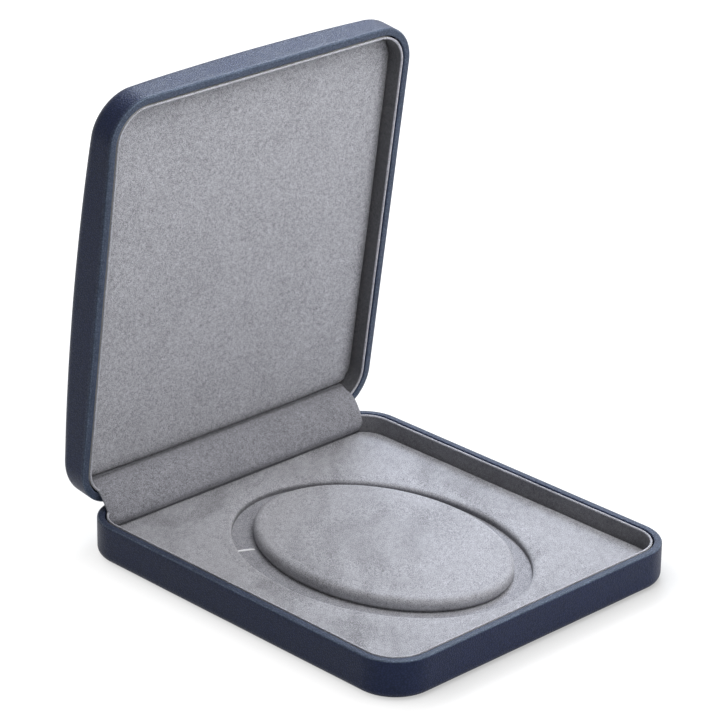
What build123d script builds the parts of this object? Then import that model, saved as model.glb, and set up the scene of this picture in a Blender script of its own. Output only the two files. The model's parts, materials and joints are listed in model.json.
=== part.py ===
# Necklace box with a hinged domed lid, a suede-lined tray and a raised oval pad.
# Millimetres. X runs along the hinge, +Y to the back, +Z up.
# The origin is the centre of the sheet that the box rests on.
# Lid pieces are drawn on the closed box and then swung open about the hinge pin.
import math
import os

from build123d import *

# The box seen from above
BOX_WIDTH = 190.0
BOX_DEPTH = 214.0
CORNER_RADIUS = 21.5

# Heights of base and lid, and the pose
RIM_HEIGHT = 19.7
RIM_GAP = 0.4
LID_HEIGHT = 24.1
LID_CROWN_RISE = 5.2
BASE_EDGE_RADIUS = 4.0
LID_EDGE_RADIUS = 5.0
OPEN_DEGREES = 82.0

# Leatherette and the moulded shells under it
WRAP_THICK = 0.8
RIM_ROLL = 1.0
RIM_INNER_ROLL = 0.6
TURN_IN = 9.5
SHELL_WALL = 2.2
BASE_FLOOR = 1.6
LID_ROOF = 2.0
SHELL_INNER_RADIUS = 2.0
RIB_WIDTH = 1.5
RIB_SHARES = (-0.36, -0.12, 0.12, 0.36)
TOP_FOAM_THICK = 1.5
TOP_FOAM_MARGIN = 2.0

# The underside
BOTTOM_BORDER = 16.0
BOTTOM_SHEET_THICK = 0.4
BOTTOM_SHEET_MARGIN = 8.0
BOTTOM_CLEAR = 0.3

# Suede-lined boards
SUEDE_THICK = 0.5
CARD_THICK = 1.3
COLLAR_GAP = 0.8
COLLAR_BOARD_THICK = 0.6
COLLAR_DROP = 0.3
COLLAR_ROLL = 0.4
FIT_CLEAR = 0.3

# The tray insert with its oval hole
TRAY_DEPTH = 9.0
CHANNEL_DEPTH = 4.1
INSERT_BOARD_THICK = 1.5
INSERT_SETBACK = 9.0
INSERT_EDGE_ROLL = 1.2
BACK_CORNER_RADIUS = 3.0
HOLE_SIDE_LAND = 33.6
HOLE_END_LAND = 26.5
HOLE_SHIFT_BACK = -2.0
HOLE_ROLL = 2.0

# The raised oval pad, and the channel round it
CHANNEL_WIDTH = 9.7
PAD_SHIFT_RIGHT = 1.2
PAD_RISE = 3.3
PAD_CROWN = 1.0
PAD_ROLL = 4.5
PAD_FOOT_BEVEL = 1.2
PAD_BOARD_THICK = 2.0

# Slits in the channel floor that take the chain's ends
SLIT_WIDTH = 0.9
SLIT_LENGTH = 11.0
SLIT_ANGLE = 35.5

# The pad in the lid
LID_RECESS = 7.6
LID_PAD_SETBACK = 11.0
LID_PAD_FOAM = 2.0
LID_PAD_CROWN = 1.2
LID_PAD_ROLL = 1.6

# The hinge
PIVOT_INSET = 0.7
PIVOT_LIFT = 1.0
PIN_RADIUS = 0.9
PIN_CLEAR = 0.05
BARREL_RADIUS = 1.85
HINGE_LENGTH = 124.0
KNUCKLE_GAP = 0.3
BASE_KNUCKLE_SHARES = ((-0.40, -0.28), (-0.09, 0.09), (0.28, 0.40))
LID_KNUCKLE_SHARES = ((-0.50, -0.40), (-0.21, -0.09), (0.09, 0.21), (0.40, 0.50))
LEAF_THICK = 0.8
LEAF_HEIGHT = 6.4
LEAF_CORNER = 1.5
NOTCH_CLEAR = 0.1
SCREW_SHARES = (-0.42, -0.14, 0.14, 0.42)
SCREW_HEAD_RADIUS = 1.7
SCREW_HEAD_THICK = 0.6
SCREW_SHANK_RADIUS = 0.7
SCREW_BITE = 1.6
SPRING_WIRE_RADIUS = 0.3
SPRING_COIL_RADIUS = 1.35
SPRING_PITCH = 1.1
SPRING_TURNS = 3
SPRING_LEG = 4.4
SPRING_SHARES = (-0.26, 0.235)

# The suede strip that hides the hinge
COVER_WIDTH = 168.0
COVER_THICK = 0.8
COVER_BULGE_SHARES = ((0.09, 0.19), (0.33, 0.26), (0.63, 0.254), (0.83, 0.173))
COVER_STEPS = 14

# One overrun for every cut, a quarter turn in degrees, and how a bevel grows towards the inside
CUT = 5.0
QUARTER_TURN = 90
BEVEL_SPREAD = math.sqrt(2) - 1

# Places that follow from the sizes above
RIM_WIDTH = WRAP_THICK + SHELL_WALL + WRAP_THICK
SHELL_INSET = WRAP_THICK
SHELL_INNER = WRAP_THICK + SHELL_WALL
BACK_Y = BOX_DEPTH / 2
COLLAR_OUTER = RIM_WIDTH + COLLAR_GAP
COLLAR_FACE = COLLAR_OUTER + COLLAR_BOARD_THICK
COLLAR_INNER = COLLAR_FACE + SUEDE_THICK
INSERT_INSET = COLLAR_INNER + FIT_CLEAR
COLLAR_END = BOX_WIDTH / 2 - CORNER_RADIUS

BASE_BOTTOM = BOTTOM_SHEET_THICK
FLOOR_BOTTOM = BASE_BOTTOM + WRAP_THICK
FLOOR_TOP = FLOOR_BOTTOM + BASE_FLOOR
INSERT_TOP = RIM_HEIGHT - TRAY_DEPTH
CHANNEL_FLOOR = INSERT_TOP - CHANNEL_DEPTH
CARD_TOP = CHANNEL_FLOOR - SUEDE_THICK
CARD_BOTTOM = CARD_TOP - CARD_THICK
INSERT_BACK = BACK_Y - INSERT_SETBACK
HOLE_HALF_WIDTH = BOX_WIDTH / 2 - HOLE_SIDE_LAND
HOLE_HALF_DEPTH = BOX_DEPTH / 2 - HOLE_END_LAND
PAD_TOP = INSERT_TOP + PAD_RISE

LID_RIM = RIM_HEIGHT + RIM_GAP
CROWN_TOP = LID_RIM + LID_HEIGHT
DOME_RADIUS = (BACK_Y**2 + LID_CROWN_RISE**2) / (2 * LID_CROWN_RISE)
SHELL_TOP_INSET = WRAP_THICK + TOP_FOAM_THICK
ROOF_INSET = SHELL_TOP_INSET + LID_ROOF
LID_PAD_FACE = LID_RIM + LID_RECESS
LID_BOARD_TOP = LID_PAD_FACE + SUEDE_THICK + LID_PAD_FOAM + CARD_THICK
LID_PAD_BACK = BACK_Y - LID_PAD_SETBACK

PIVOT_Y = BACK_Y - PIVOT_INSET
PIVOT_Z = RIM_HEIGHT + PIVOT_LIFT
ARM_BOTTOM = PIVOT_Z - BARREL_RADIUS
BASE_NOTCH = ARM_BOTTOM - NOTCH_CLEAR
LID_NOTCH = PIVOT_Z + BARREL_RADIUS + NOTCH_CLEAR
LEAF_BACK = BACK_Y - RIM_WIDTH


# Forms that several pieces share

def slab(inset, bottom, top):
    """The box's outline, drawn in by inset, between two heights."""
    plan = RectangleRounded(BOX_WIDTH - 2 * inset, BOX_DEPTH - 2 * inset, CORNER_RADIUS - inset)
    return Pos(0, 0, bottom) * extrude(plan, amount=top - bottom)


def set_back_slab(inset, back, bottom, top):
    """The same, cut short at the back where the hinge cover tucks in."""
    plan = RectangleRounded(BOX_WIDTH - 2 * inset, BOX_DEPTH - 2 * inset, CORNER_RADIUS - inset)
    plan -= Pos(0, back + BOX_DEPTH / 2) * Rectangle(BOX_WIDTH, BOX_DEPTH)
    plan = fillet(plan.vertices().group_by(Axis.Y)[-1], BACK_CORNER_RADIUS)
    return Pos(0, 0, bottom) * extrude(plan, amount=top - bottom)


def block(x_low, x_high, y_low, y_high, z_low, z_high):
    """A plain block between limits, for cuts and ribs."""
    size = Box(x_high - x_low, y_high - y_low, z_high - z_low)
    return Pos((x_low + x_high) / 2, (y_low + y_high) / 2, (z_low + z_high) / 2) * size


def base_form(inset, bottom, top):
    """The base's outside, drawn in by inset, with its rounded bottom edge."""
    solid = slab(inset, bottom, top)
    under = solid.faces().sort_by(Axis.Z)[0]
    return fillet(under.edges(), BASE_EDGE_RADIUS - inset)


def crown(apex, radius):
    """A ball whose highest point, or lowest where the radius is negative, is at apex."""
    turn = math.copysign(QUARTER_TURN, radius)
    return Pos(0, 0, apex - radius) * Rot(0, turn, 0) * Sphere(abs(radius))


def lid_form(side_inset, top_inset, bottom, edge_radius):
    """The closed lid's domed outside, drawn in at the sides and the top."""
    solid = slab(side_inset, bottom, CROWN_TOP + CUT)
    solid &= crown(CROWN_TOP - top_inset, DOME_RADIUS - top_inset)
    roof = solid.faces().sort_by(Axis.Z)[-1]
    return fillet(roof.edges(), edge_radius)


def ring(outer_inset, inner_inset, bottom, top):
    """An upright band that follows the outline."""
    return slab(outer_inset, bottom, top) - slab(inner_inset, bottom - CUT, top + CUT)


def open_lid(closed):
    """Swings a piece of the closed lid to the pose in which the box is shown."""
    at_pin = Pos(0, PIVOT_Y, PIVOT_Z)
    return at_pin * Rot(-OPEN_DEGREES, 0, 0) * at_pin.inverse() * closed


def opened_point(y, z):
    """Where a point of the closed lid lies when the lid is open."""
    angle = math.radians(OPEN_DEGREES)
    out_y = (y - PIVOT_Y) * math.cos(angle) + (z - PIVOT_Z) * math.sin(angle)
    out_z = (z - PIVOT_Z) * math.cos(angle) - (y - PIVOT_Y) * math.sin(angle)
    return PIVOT_Y + out_y, PIVOT_Z + out_z


def hinge_notch(low, high):
    """The slot in a rear wall's rim that the hinge leaf passes through."""
    half = HINGE_LENGTH / 2 + NOTCH_CLEAR
    return block(-half, half, LEAF_BACK - CUT, BACK_Y + CUT, low, high)


# Leatherette skins and moulded shells

def base_wrap():
    """The skin outside, over the rim and down its inner face, with a turned border below."""
    skin = base_form(0, BASE_BOTTOM, RIM_HEIGHT)
    skin = fillet(skin.faces().sort_by(Axis.Z)[-1].edges(), RIM_ROLL)
    skin -= slab(RIM_WIDTH, RIM_HEIGHT - TURN_IN, RIM_HEIGHT + CUT)
    skin = fillet(skin.faces().sort_by(Axis.Z)[-1].inner_wires()[0].edges(), RIM_INNER_ROLL)
    core = base_form(SHELL_INSET, FLOOR_BOTTOM, RIM_HEIGHT - WRAP_THICK)
    skin -= core - ring(SHELL_INNER, RIM_WIDTH, RIM_HEIGHT - TURN_IN, RIM_HEIGHT)
    skin -= slab(BOTTOM_BORDER, BASE_BOTTOM - CUT, FLOOR_TOP)
    skin -= hinge_notch(BASE_NOTCH, RIM_HEIGHT + CUT)
    return skin - screw_shanks()


def base_shell():
    shell = base_form(SHELL_INSET, FLOOR_BOTTOM, RIM_HEIGHT - WRAP_THICK)
    shell -= slab(SHELL_INNER, FLOOR_TOP, RIM_HEIGHT + CUT)
    shell += ribs(FLOOR_TOP, CARD_BOTTOM) & slab(INSERT_INSET, FLOOR_TOP, CARD_BOTTOM)
    shell -= hinge_notch(BASE_NOTCH, RIM_HEIGHT + CUT)
    return shell - screw_shanks()


def ribs(low, high):
    """Crossing ribs over the whole plan, which the caller trims to its shell."""
    bars = []
    for share in RIB_SHARES:
        x = share * BOX_WIDTH
        y = share * BOX_DEPTH
        bars.append(block(x - RIB_WIDTH / 2, x + RIB_WIDTH / 2, -BACK_Y, BACK_Y, low, high))
        bars.append(block(-BOX_WIDTH / 2, BOX_WIDTH / 2, y - RIB_WIDTH / 2, y + RIB_WIDTH / 2, low, high))
    return Part() + bars


def bottom_filler():
    return slab(BOTTOM_BORDER + BOTTOM_CLEAR, BASE_BOTTOM, FLOOR_BOTTOM)


def bottom_sheet():
    return slab(BOTTOM_SHEET_MARGIN, 0, BOTTOM_SHEET_THICK)


def lid_wrap():
    """The skin over the dome, the sides and the rim, turned in behind it."""
    skin = lid_form(0, 0, LID_RIM, LID_EDGE_RADIUS)
    skin = fillet(skin.faces().sort_by(Axis.Z)[0].edges(), RIM_ROLL)
    skin -= slab(RIM_WIDTH, LID_RIM - CUT, LID_RIM + TURN_IN)
    skin = fillet(skin.faces().sort_by(Axis.Z)[0].inner_wires()[0].edges(), RIM_INNER_ROLL)
    core = lid_form(SHELL_INSET, WRAP_THICK, LID_RIM + WRAP_THICK, LID_EDGE_RADIUS - WRAP_THICK)
    skin -= core - ring(SHELL_INNER, RIM_WIDTH, LID_RIM, LID_RIM + TURN_IN)
    skin -= hinge_notch(LID_RIM - CUT, LID_NOTCH)
    return skin - over_to_lid(screw_shanks())


def lid_shell():
    edge = LID_EDGE_RADIUS - WRAP_THICK
    shell = lid_form(SHELL_INSET, SHELL_TOP_INSET, LID_RIM + WRAP_THICK, edge)
    room = lid_form(SHELL_INNER, ROOF_INSET, LID_RIM, SHELL_INNER_RADIUS)
    shell -= room - ribs(LID_BOARD_TOP, CROWN_TOP)
    shell -= hinge_notch(LID_RIM - CUT, LID_NOTCH)
    return shell - over_to_lid(screw_shanks())


def lid_top_foam():
    edge = LID_EDGE_RADIUS - WRAP_THICK
    under = lid_form(SHELL_INSET, SHELL_TOP_INSET, LID_RIM, edge)
    margin = SHELL_INSET + TOP_FOAM_MARGIN
    return lid_form(margin, WRAP_THICK, LID_BOARD_TOP, edge - TOP_FOAM_MARGIN) - under


# Collars: boards behind the rims, lined with suede that turns over their free edge

def collar(outer_inset, inner_inset, bottom, top):
    """A band behind the rim, open at the back where the hinge is."""
    gap = block(-COLLAR_END, COLLAR_END, 0, BACK_Y, bottom - CUT, top + CUT)
    return ring(outer_inset, inner_inset, bottom, top) - gap


def base_collar_board():
    return collar(COLLAR_OUTER, COLLAR_FACE, FLOOR_TOP, RIM_HEIGHT - COLLAR_DROP - SUEDE_THICK)


def base_collar_lining():
    band = collar(COLLAR_OUTER, COLLAR_INNER, FLOOR_TOP, RIM_HEIGHT - COLLAR_DROP)
    band = fillet(band.faces().sort_by(Axis.Z)[-1].edges(), COLLAR_ROLL)
    return band - base_collar_board()


def lid_collar_board():
    return collar(COLLAR_OUTER, COLLAR_FACE, LID_RIM + COLLAR_DROP + SUEDE_THICK, LID_BOARD_TOP)


def lid_collar_lining():
    band = collar(COLLAR_OUTER, COLLAR_INNER, LID_RIM + COLLAR_DROP, LID_BOARD_TOP)
    band = fillet(band.faces().sort_by(Axis.Z)[0].edges(), COLLAR_ROLL)
    return band - lid_collar_board()


# The tray insert

def oval_hole(inset, bottom, top):
    """The hole in the insert as a solid, widened by inset for the layers under the suede."""
    plan = Ellipse(HOLE_HALF_WIDTH + inset, HOLE_HALF_DEPTH + inset)
    return Pos(0, HOLE_SHIFT_BACK, bottom) * extrude(plan, amount=top - bottom)


def insert_form(inset):
    """The insert's outside, drawn in by inset under its suede."""
    top = INSERT_TOP - inset
    plate = set_back_slab(INSERT_INSET + inset, INSERT_BACK - inset, CHANNEL_FLOOR, top)
    plate = fillet(plate.faces().sort_by(Axis.Z)[-1].edges(), INSERT_EDGE_ROLL - inset)
    plate -= oval_hole(inset, CHANNEL_FLOOR - CUT, top + CUT)
    mouth = plate.faces().sort_by(Axis.Z)[-1].inner_wires()[0].edges()
    return fillet(mouth, HOLE_ROLL - inset)


def insert_layer(bottom, top):
    """One layer of the insert under its suede."""
    return insert_form(SUEDE_THICK) & block(-BOX_WIDTH, BOX_WIDTH, -BOX_DEPTH, BOX_DEPTH, bottom, top)


def insert_cover():
    return insert_form(0) - insert_form(SUEDE_THICK)


def channel_sheet(bottom, top):
    """A flat sheet under the insert, with the two chain slits."""
    sheet = slab(INSERT_INSET, bottom, top)
    for side in (-1, 1):
        sheet -= chain_slit(side, bottom, top)
    return sheet


def chain_slit(side, bottom, top):
    """A slit across the middle of the channel, square to its run."""
    half_width = HOLE_HALF_WIDTH - CHANNEL_WIDTH / 2
    half_depth = HOLE_HALF_DEPTH - CHANNEL_WIDTH / 2
    turn = math.radians(SLIT_ANGLE)
    x = side * half_width * math.cos(turn)
    y = HOLE_SHIFT_BACK + half_depth * math.sin(turn)
    slope = math.degrees(math.atan2(math.sin(turn) / half_depth, math.cos(turn) / half_width))
    cut = Box(SLIT_LENGTH, SLIT_WIDTH, top - bottom + CUT)
    return Pos(x, y, (bottom + top) / 2) * Rot(0, 0, side * slope) * cut


# The raised oval pad

def pad_form(inset):
    """The pad's outside: crown, rolled edge and drawn-in foot."""
    half_width = HOLE_HALF_WIDTH - CHANNEL_WIDTH - inset
    half_depth = HOLE_HALF_DEPTH - CHANNEL_WIDTH - inset
    radius = (half_depth**2 + PAD_CROWN**2) / (2 * PAD_CROWN)
    body = extrude(Ellipse(half_width, half_depth), amount=PAD_TOP + CUT - CHANNEL_FLOOR)
    body = Pos(PAD_SHIFT_RIGHT, HOLE_SHIFT_BACK, CHANNEL_FLOOR) * body
    body &= Pos(PAD_SHIFT_RIGHT, HOLE_SHIFT_BACK, 0) * crown(PAD_TOP - inset, radius)
    body = fillet(body.faces().sort_by(Axis.Z)[-1].edges(), PAD_ROLL - inset)
    foot = body.faces().sort_by(Axis.Z)[0]
    return chamfer(foot.edges(), PAD_FOOT_BEVEL + inset * BEVEL_SPREAD)


def pad_layer(bottom, top):
    return pad_form(SUEDE_THICK) & block(-BOX_WIDTH, BOX_WIDTH, -BOX_DEPTH, BOX_DEPTH, bottom, top)


def pad_cover():
    return pad_form(0) - pad_form(SUEDE_THICK)


# The pad in the lid, drawn closed with its crown down

def lid_pad_form(inset):
    face = LID_PAD_FACE + inset
    half_depth = BACK_Y - INSERT_INSET
    radius = (half_depth**2 + LID_PAD_CROWN**2) / (2 * LID_PAD_CROWN)
    body = set_back_slab(INSERT_INSET + inset, LID_PAD_BACK - inset, face - CUT, LID_BOARD_TOP)
    body &= crown(face - LID_PAD_CROWN, -radius)
    return fillet(body.faces().sort_by(Axis.Z)[0].edges(), LID_PAD_ROLL - inset)


def lid_pad_layer(bottom, top):
    return lid_pad_form(SUEDE_THICK) & block(-BOX_WIDTH, BOX_WIDTH, -BOX_DEPTH, BOX_DEPTH, bottom, top)


# The hinge, drawn closed

def along_hinge(radius, start, end):
    """A round bar on the hinge axis between two places along it."""
    bar = Rot(0, QUARTER_TURN, 0) * Cylinder(radius, end - start)
    return Pos((start + end) / 2, PIVOT_Y, PIVOT_Z) * bar


def leaf(knuckle_shares, bore):
    """The base's kind of leaf: a plate inside the rear wall, arms over the rim, and knuckles."""
    half = HINGE_LENGTH / 2
    plate_bottom = ARM_BOTTOM - LEAF_HEIGHT
    plate = Rectangle(HINGE_LENGTH, LEAF_HEIGHT)
    low_corners = plate.vertices().group_by(Axis.Y)[0]
    plate = fillet(low_corners, LEAF_CORNER)
    plate = Plane.XZ * extrude(plate, amount=LEAF_THICK)
    body = Pos(0, LEAF_BACK, plate_bottom + LEAF_HEIGHT / 2) * plate
    for low, high in knuckle_shares:
        start = low * HINGE_LENGTH + KNUCKLE_GAP / 2
        end = high * HINGE_LENGTH - KNUCKLE_GAP / 2
        body += block(start, end, LEAF_BACK - LEAF_THICK, PIVOT_Y, ARM_BOTTOM, ARM_BOTTOM + LEAF_THICK)
        body += along_hinge(BARREL_RADIUS, start, end)
    body -= along_hinge(bore, -half - CUT, half + CUT)
    return body - screw_shanks()


def screws():
    """Round heads on the leaf and shanks into the rear wall."""
    front = LEAF_BACK - LEAF_THICK
    heads = []
    for share in SCREW_SHARES:
        head = Rot(QUARTER_TURN, 0, 0) * Cylinder(SCREW_HEAD_RADIUS, SCREW_HEAD_THICK)
        head = fillet(head.edges().sort_by(Axis.Y)[0], SCREW_HEAD_THICK / 2)
        heads.append(Pos(share * HINGE_LENGTH, front - SCREW_HEAD_THICK / 2, screw_height()) * head)
    return heads


def screw_height():
    return ARM_BOTTOM - LEAF_HEIGHT / 2


def screw_shanks():
    """The screws' shanks, which also cut their holes."""
    length = LEAF_THICK + WRAP_THICK + SCREW_BITE
    front = LEAF_BACK - LEAF_THICK
    shanks = []
    for share in SCREW_SHARES:
        shank = Rot(QUARTER_TURN, 0, 0) * Cylinder(SCREW_SHANK_RADIUS, length)
        shanks.append(Pos(share * HINGE_LENGTH, front + length / 2, screw_height()) * shank)
    return shanks


def whole_screws():
    return [head + shank for head, shank in zip(screws(), screw_shanks())]


def over_to_lid(pieces):
    """Turns hinge pieces of the base over to the closed lid, across the hinge axis."""
    over = Plane(origin=(0, 0, PIVOT_Z), z_dir=(0, 0, 1))
    return [mirror(piece, about=over) for piece in pieces]


def spring(share):
    """A torsion spring on the pin, with one leg on each leaf."""
    turns = SPRING_TURNS + (2 * QUARTER_TURN - OPEN_DEGREES) / (4 * QUARTER_TURN)
    start = share * HINGE_LENGTH
    seat = Plane(origin=(start, PIVOT_Y, PIVOT_Z), x_dir=(0, 0, -1), z_dir=(1, 0, 0))
    path = Helix(SPRING_PITCH, SPRING_PITCH * turns, SPRING_COIL_RADIUS)
    section = Plane(origin=path @ 0, z_dir=path % 0) * Circle(SPRING_WIRE_RADIUS)
    coil = seat * sweep(section, path=path)
    open_angle = math.radians(OPEN_DEGREES)
    low = Vector(start, PIVOT_Y, PIVOT_Z - SPRING_COIL_RADIUS)
    far_x = start + SPRING_PITCH * turns
    far_y = PIVOT_Y + SPRING_COIL_RADIUS * math.sin(open_angle)
    far_z = PIVOT_Z + SPRING_COIL_RADIUS * math.cos(open_angle)
    base_leg = wire_leg(low, Vector(0, -1, 0))
    lid_leg = wire_leg(Vector(far_x, far_y, far_z), Vector(0, -math.cos(open_angle), math.sin(open_angle)))
    return coil + base_leg + lid_leg


def wire_leg(start, direction):
    seat = Plane(origin=start, z_dir=direction)
    return seat * extrude(Circle(SPRING_WIRE_RADIUS), amount=SPRING_LEG)


# The suede strip over the hinge

def cover_front():
    """The strip's front face in side view, from the insert's edge up to the lid pad's edge."""
    low = Vector(0, INSERT_BACK + FIT_CLEAR, INSERT_TOP)
    lid_y, lid_z = opened_point(LID_PAD_BACK + FIT_CLEAR, LID_PAD_FACE)
    high = Vector(0, lid_y, lid_z)
    chord = high - low
    out = Vector(0, -chord.Z, chord.Y)
    points = [low]
    for along, aside in COVER_BULGE_SHARES:
        points.append(low + chord * along + out * aside)
    points.append(high)
    return Spline(*points)


def hinge_cover():
    """The bulging strip, with one edge tucked behind the insert and one behind the lid pad."""
    front = cover_front()
    near = []
    far = []
    for step in range(COVER_STEPS + 1):
        place = front @ (step / COVER_STEPS)
        run = front % (step / COVER_STEPS)
        near.append(place)
        far.append(place + Vector(0, run.Z, -run.Y) * COVER_THICK)
    foot_y = near[0].Y
    foot = (Vector(0, foot_y, CHANNEL_FLOOR), Vector(0, foot_y + COVER_THICK, CHANNEL_FLOOR))
    knee = Vector(0, foot_y + COVER_THICK, far[0].Z)
    top_y, top_z = opened_point(LID_PAD_BACK + FIT_CLEAR, LID_BOARD_TOP - FIT_CLEAR)
    back_y, back_z = opened_point(LID_PAD_BACK + FIT_CLEAR + COVER_THICK, LID_BOARD_TOP - FIT_CLEAR)
    tip = (Vector(0, top_y, top_z), Vector(0, back_y, back_z))
    outline = [
        Spline(*near),
        Polyline(near[-1], tip[0], tip[1], far[-1]),
        Spline(*far),
        Polyline(far[0], foot[1], foot[0], near[0]),
    ]
    strip = extrude(make_face(outline), amount=COVER_WIDTH / 2, dir=(1, 0, 0), both=True)
    strip -= ring(0, INSERT_INSET, 0, RIM_HEIGHT)
    return strip - open_lid(ring(0, INSERT_INSET, LID_RIM, LID_BOARD_TOP))


# Every piece under its own name

PIECES = {
    "base_shell": base_shell(),
    "base_wrap": base_wrap(),
    "base_bottom_filler": bottom_filler(),
    "base_bottom_sheet": bottom_sheet(),
    "base_collar_board": base_collar_board(),
    "base_collar_lining": base_collar_lining(),
    "channel_card": channel_sheet(CARD_BOTTOM, CARD_TOP),
    "channel_lining": channel_sheet(CARD_TOP, CHANNEL_FLOOR),
    "insert_board": insert_layer(CHANNEL_FLOOR, CHANNEL_FLOOR + INSERT_BOARD_THICK),
    "insert_foam": insert_layer(CHANNEL_FLOOR + INSERT_BOARD_THICK, INSERT_TOP),
    "insert_cover": insert_cover(),
    "oval_pad_board": pad_layer(CHANNEL_FLOOR, CHANNEL_FLOOR + PAD_BOARD_THICK),
    "oval_pad_foam": pad_layer(CHANNEL_FLOOR + PAD_BOARD_THICK, PAD_TOP),
    "oval_pad_cover": pad_cover(),
    "hinge_base_leaf": leaf(BASE_KNUCKLE_SHARES, PIN_RADIUS),
    "hinge_base_screws": whole_screws(),
    "hinge_pin": along_hinge(PIN_RADIUS, -HINGE_LENGTH / 2, HINGE_LENGTH / 2),
    "hinge_springs": [spring(share) for share in SPRING_SHARES],
    "hinge_cover": hinge_cover(),
    "hinge_lid_leaf": open_lid(over_to_lid([leaf(LID_KNUCKLE_SHARES, PIN_RADIUS + PIN_CLEAR)])[0]),
    "hinge_lid_screws": [open_lid(piece) for piece in over_to_lid(whole_screws())],
    "lid_shell": open_lid(lid_shell()),
    "lid_top_foam": open_lid(lid_top_foam()),
    "lid_wrap": open_lid(lid_wrap()),
    "lid_collar_board": open_lid(lid_collar_board()),
    "lid_collar_lining": open_lid(lid_collar_lining()),
    "lid_pad_board": open_lid(lid_pad_layer(LID_BOARD_TOP - CARD_THICK, LID_BOARD_TOP)),
    "lid_pad_foam": open_lid(lid_pad_layer(0, LID_BOARD_TOP - CARD_THICK)),
    "lid_pad_cover": open_lid(lid_pad_form(0) - lid_pad_form(SUEDE_THICK)),
}

os.makedirs("parts", exist_ok=True)
for name, shape in PIECES.items():
    solids = []
    for piece in shape if isinstance(shape, list) else [shape]:
        solids.extend(piece.solids())
    export_step(Compound(children=solids), os.path.join("parts", name + ".step"))
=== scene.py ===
import json
import math

import bmesh
import bpy
from mathutils import Matrix, Vector, noise
from mathutils.bvhtree import BVHTree


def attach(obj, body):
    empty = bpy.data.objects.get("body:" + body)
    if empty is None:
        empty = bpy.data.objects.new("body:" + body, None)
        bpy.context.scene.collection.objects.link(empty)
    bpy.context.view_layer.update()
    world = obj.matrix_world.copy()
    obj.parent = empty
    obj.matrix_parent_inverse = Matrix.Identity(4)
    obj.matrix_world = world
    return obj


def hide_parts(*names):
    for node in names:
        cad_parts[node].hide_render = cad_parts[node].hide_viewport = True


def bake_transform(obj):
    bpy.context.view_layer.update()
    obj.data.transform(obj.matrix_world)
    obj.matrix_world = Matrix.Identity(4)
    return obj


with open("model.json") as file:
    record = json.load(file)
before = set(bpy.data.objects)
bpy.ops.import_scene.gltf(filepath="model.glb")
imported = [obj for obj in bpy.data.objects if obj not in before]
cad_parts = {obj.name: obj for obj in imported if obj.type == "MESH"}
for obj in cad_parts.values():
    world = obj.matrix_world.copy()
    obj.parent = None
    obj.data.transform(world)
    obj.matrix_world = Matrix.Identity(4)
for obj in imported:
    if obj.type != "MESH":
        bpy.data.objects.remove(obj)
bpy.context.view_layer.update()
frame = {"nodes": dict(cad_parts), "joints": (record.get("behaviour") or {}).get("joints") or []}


# THE BASE'S LEATHERETTE
# One piece of dark leatherette with a fine pebbled grain is glued over the base's shell.
# It starts in a turned border under the box, goes up the walls and over the rim, and ends
# a little way down behind it. Its corners are pulled round, so the border has small folds.
MM = 0.001
BOX_WIDTH = 190 * MM
BOX_DEPTH = 214 * MM
CORNER = 21.5 * MM
SKIN = 0.8 * MM
RIM_WIDTH = 3.8 * MM
RIM_TOP = 19.7 * MM
RIM_ROLL = 1.0 * MM
RIM_INNER_ROLL = 0.6 * MM
TURN_IN = 9.5 * MM
BASE_UNDERSIDE = 0.4 * MM
BASE_EDGE = 4.0 * MM
BORDER = 16 * MM
BORDER_FOLD = 0.22 * MM
CORNER_FOLDS = 11
SKIN_WAVE = 26 * MM
SKIN_WAVE_DEPTH = 0.07 * MM
LEATHERETTE = (0.0135, 0.0175, 0.050, 1)
# Paler tone for the rim edges: partly wear, partly a painted highlight.
LEATHERETTE_WORN_HIGHLIGHT = (0.10, 0.125, 0.175, 1)
LEATHERETTE_SHINE = (0.60, 0.79, 0.97, 1)
GRAIN_CELLS = 850.0
GRAIN_BEND = 1.1 * MM


def stations(corner_steps, side_step):
    """Centres and outward directions round the outline, from the middle of the back by the left."""
    half_x = BOX_WIDTH / 2 - CORNER
    half_y = BOX_DEPTH / 2 - CORNER
    corners = [(-half_x, half_y), (-half_x, -half_y), (half_x, -half_y), (half_x, half_y)]
    stops = [(0, half_y), *corners, (0, half_y)]
    walk = []
    for side, (start, end) in enumerate(zip(stops, stops[1:])):
        facing = math.radians(90 * (side + 1))
        count = max(2, round(math.dist(start, end) / side_step))
        for step in range(count):
            share = step / count
            centre = (start[0] + (end[0] - start[0]) * share, start[1] + (end[1] - start[1]) * share)
            walk.append((*centre, math.cos(facing), math.sin(facing)))
        if side < len(corners):
            for step in range(corner_steps):
                angle = facing + math.radians(90) * step / corner_steps
                walk.append((*end, math.cos(angle), math.sin(angle)))
    return walk


def at(station, inset, height):
    """The point of a station that lies an inset behind the outline, at a height."""
    x, y, out_x, out_y = station
    return Vector((x + (CORNER - inset) * out_x, y + (CORNER - inset) * out_y, height))


def arc(inset, height, radius, start, end, steps=6):
    """Points of a rounded edge in side view: 0 degrees is straight in, 90 is straight up."""
    turns = [math.radians(start + (end - start) * step / steps) for step in range(steps + 1)]
    return [(inset + radius * math.cos(turn), height + radius * math.sin(turn)) for turn in turns]


def rise(inset, low, high, steps):
    """Points up or down an upright wall."""
    return [(inset, low + (high - low) * step / steps) for step in range(steps + 1)]


def in_scene(name, data):
    """A new object in the scene, at the origin."""
    added = bpy.data.objects.new(name, data)
    bpy.context.scene.collection.objects.link(added)
    return added


def soften(mesh, crease=35):
    """Soft shading over every edge that turns by less than the crease angle."""
    mesh.shade_smooth()
    mesh.set_sharp_from_angle(angle=math.radians(crease))


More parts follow.
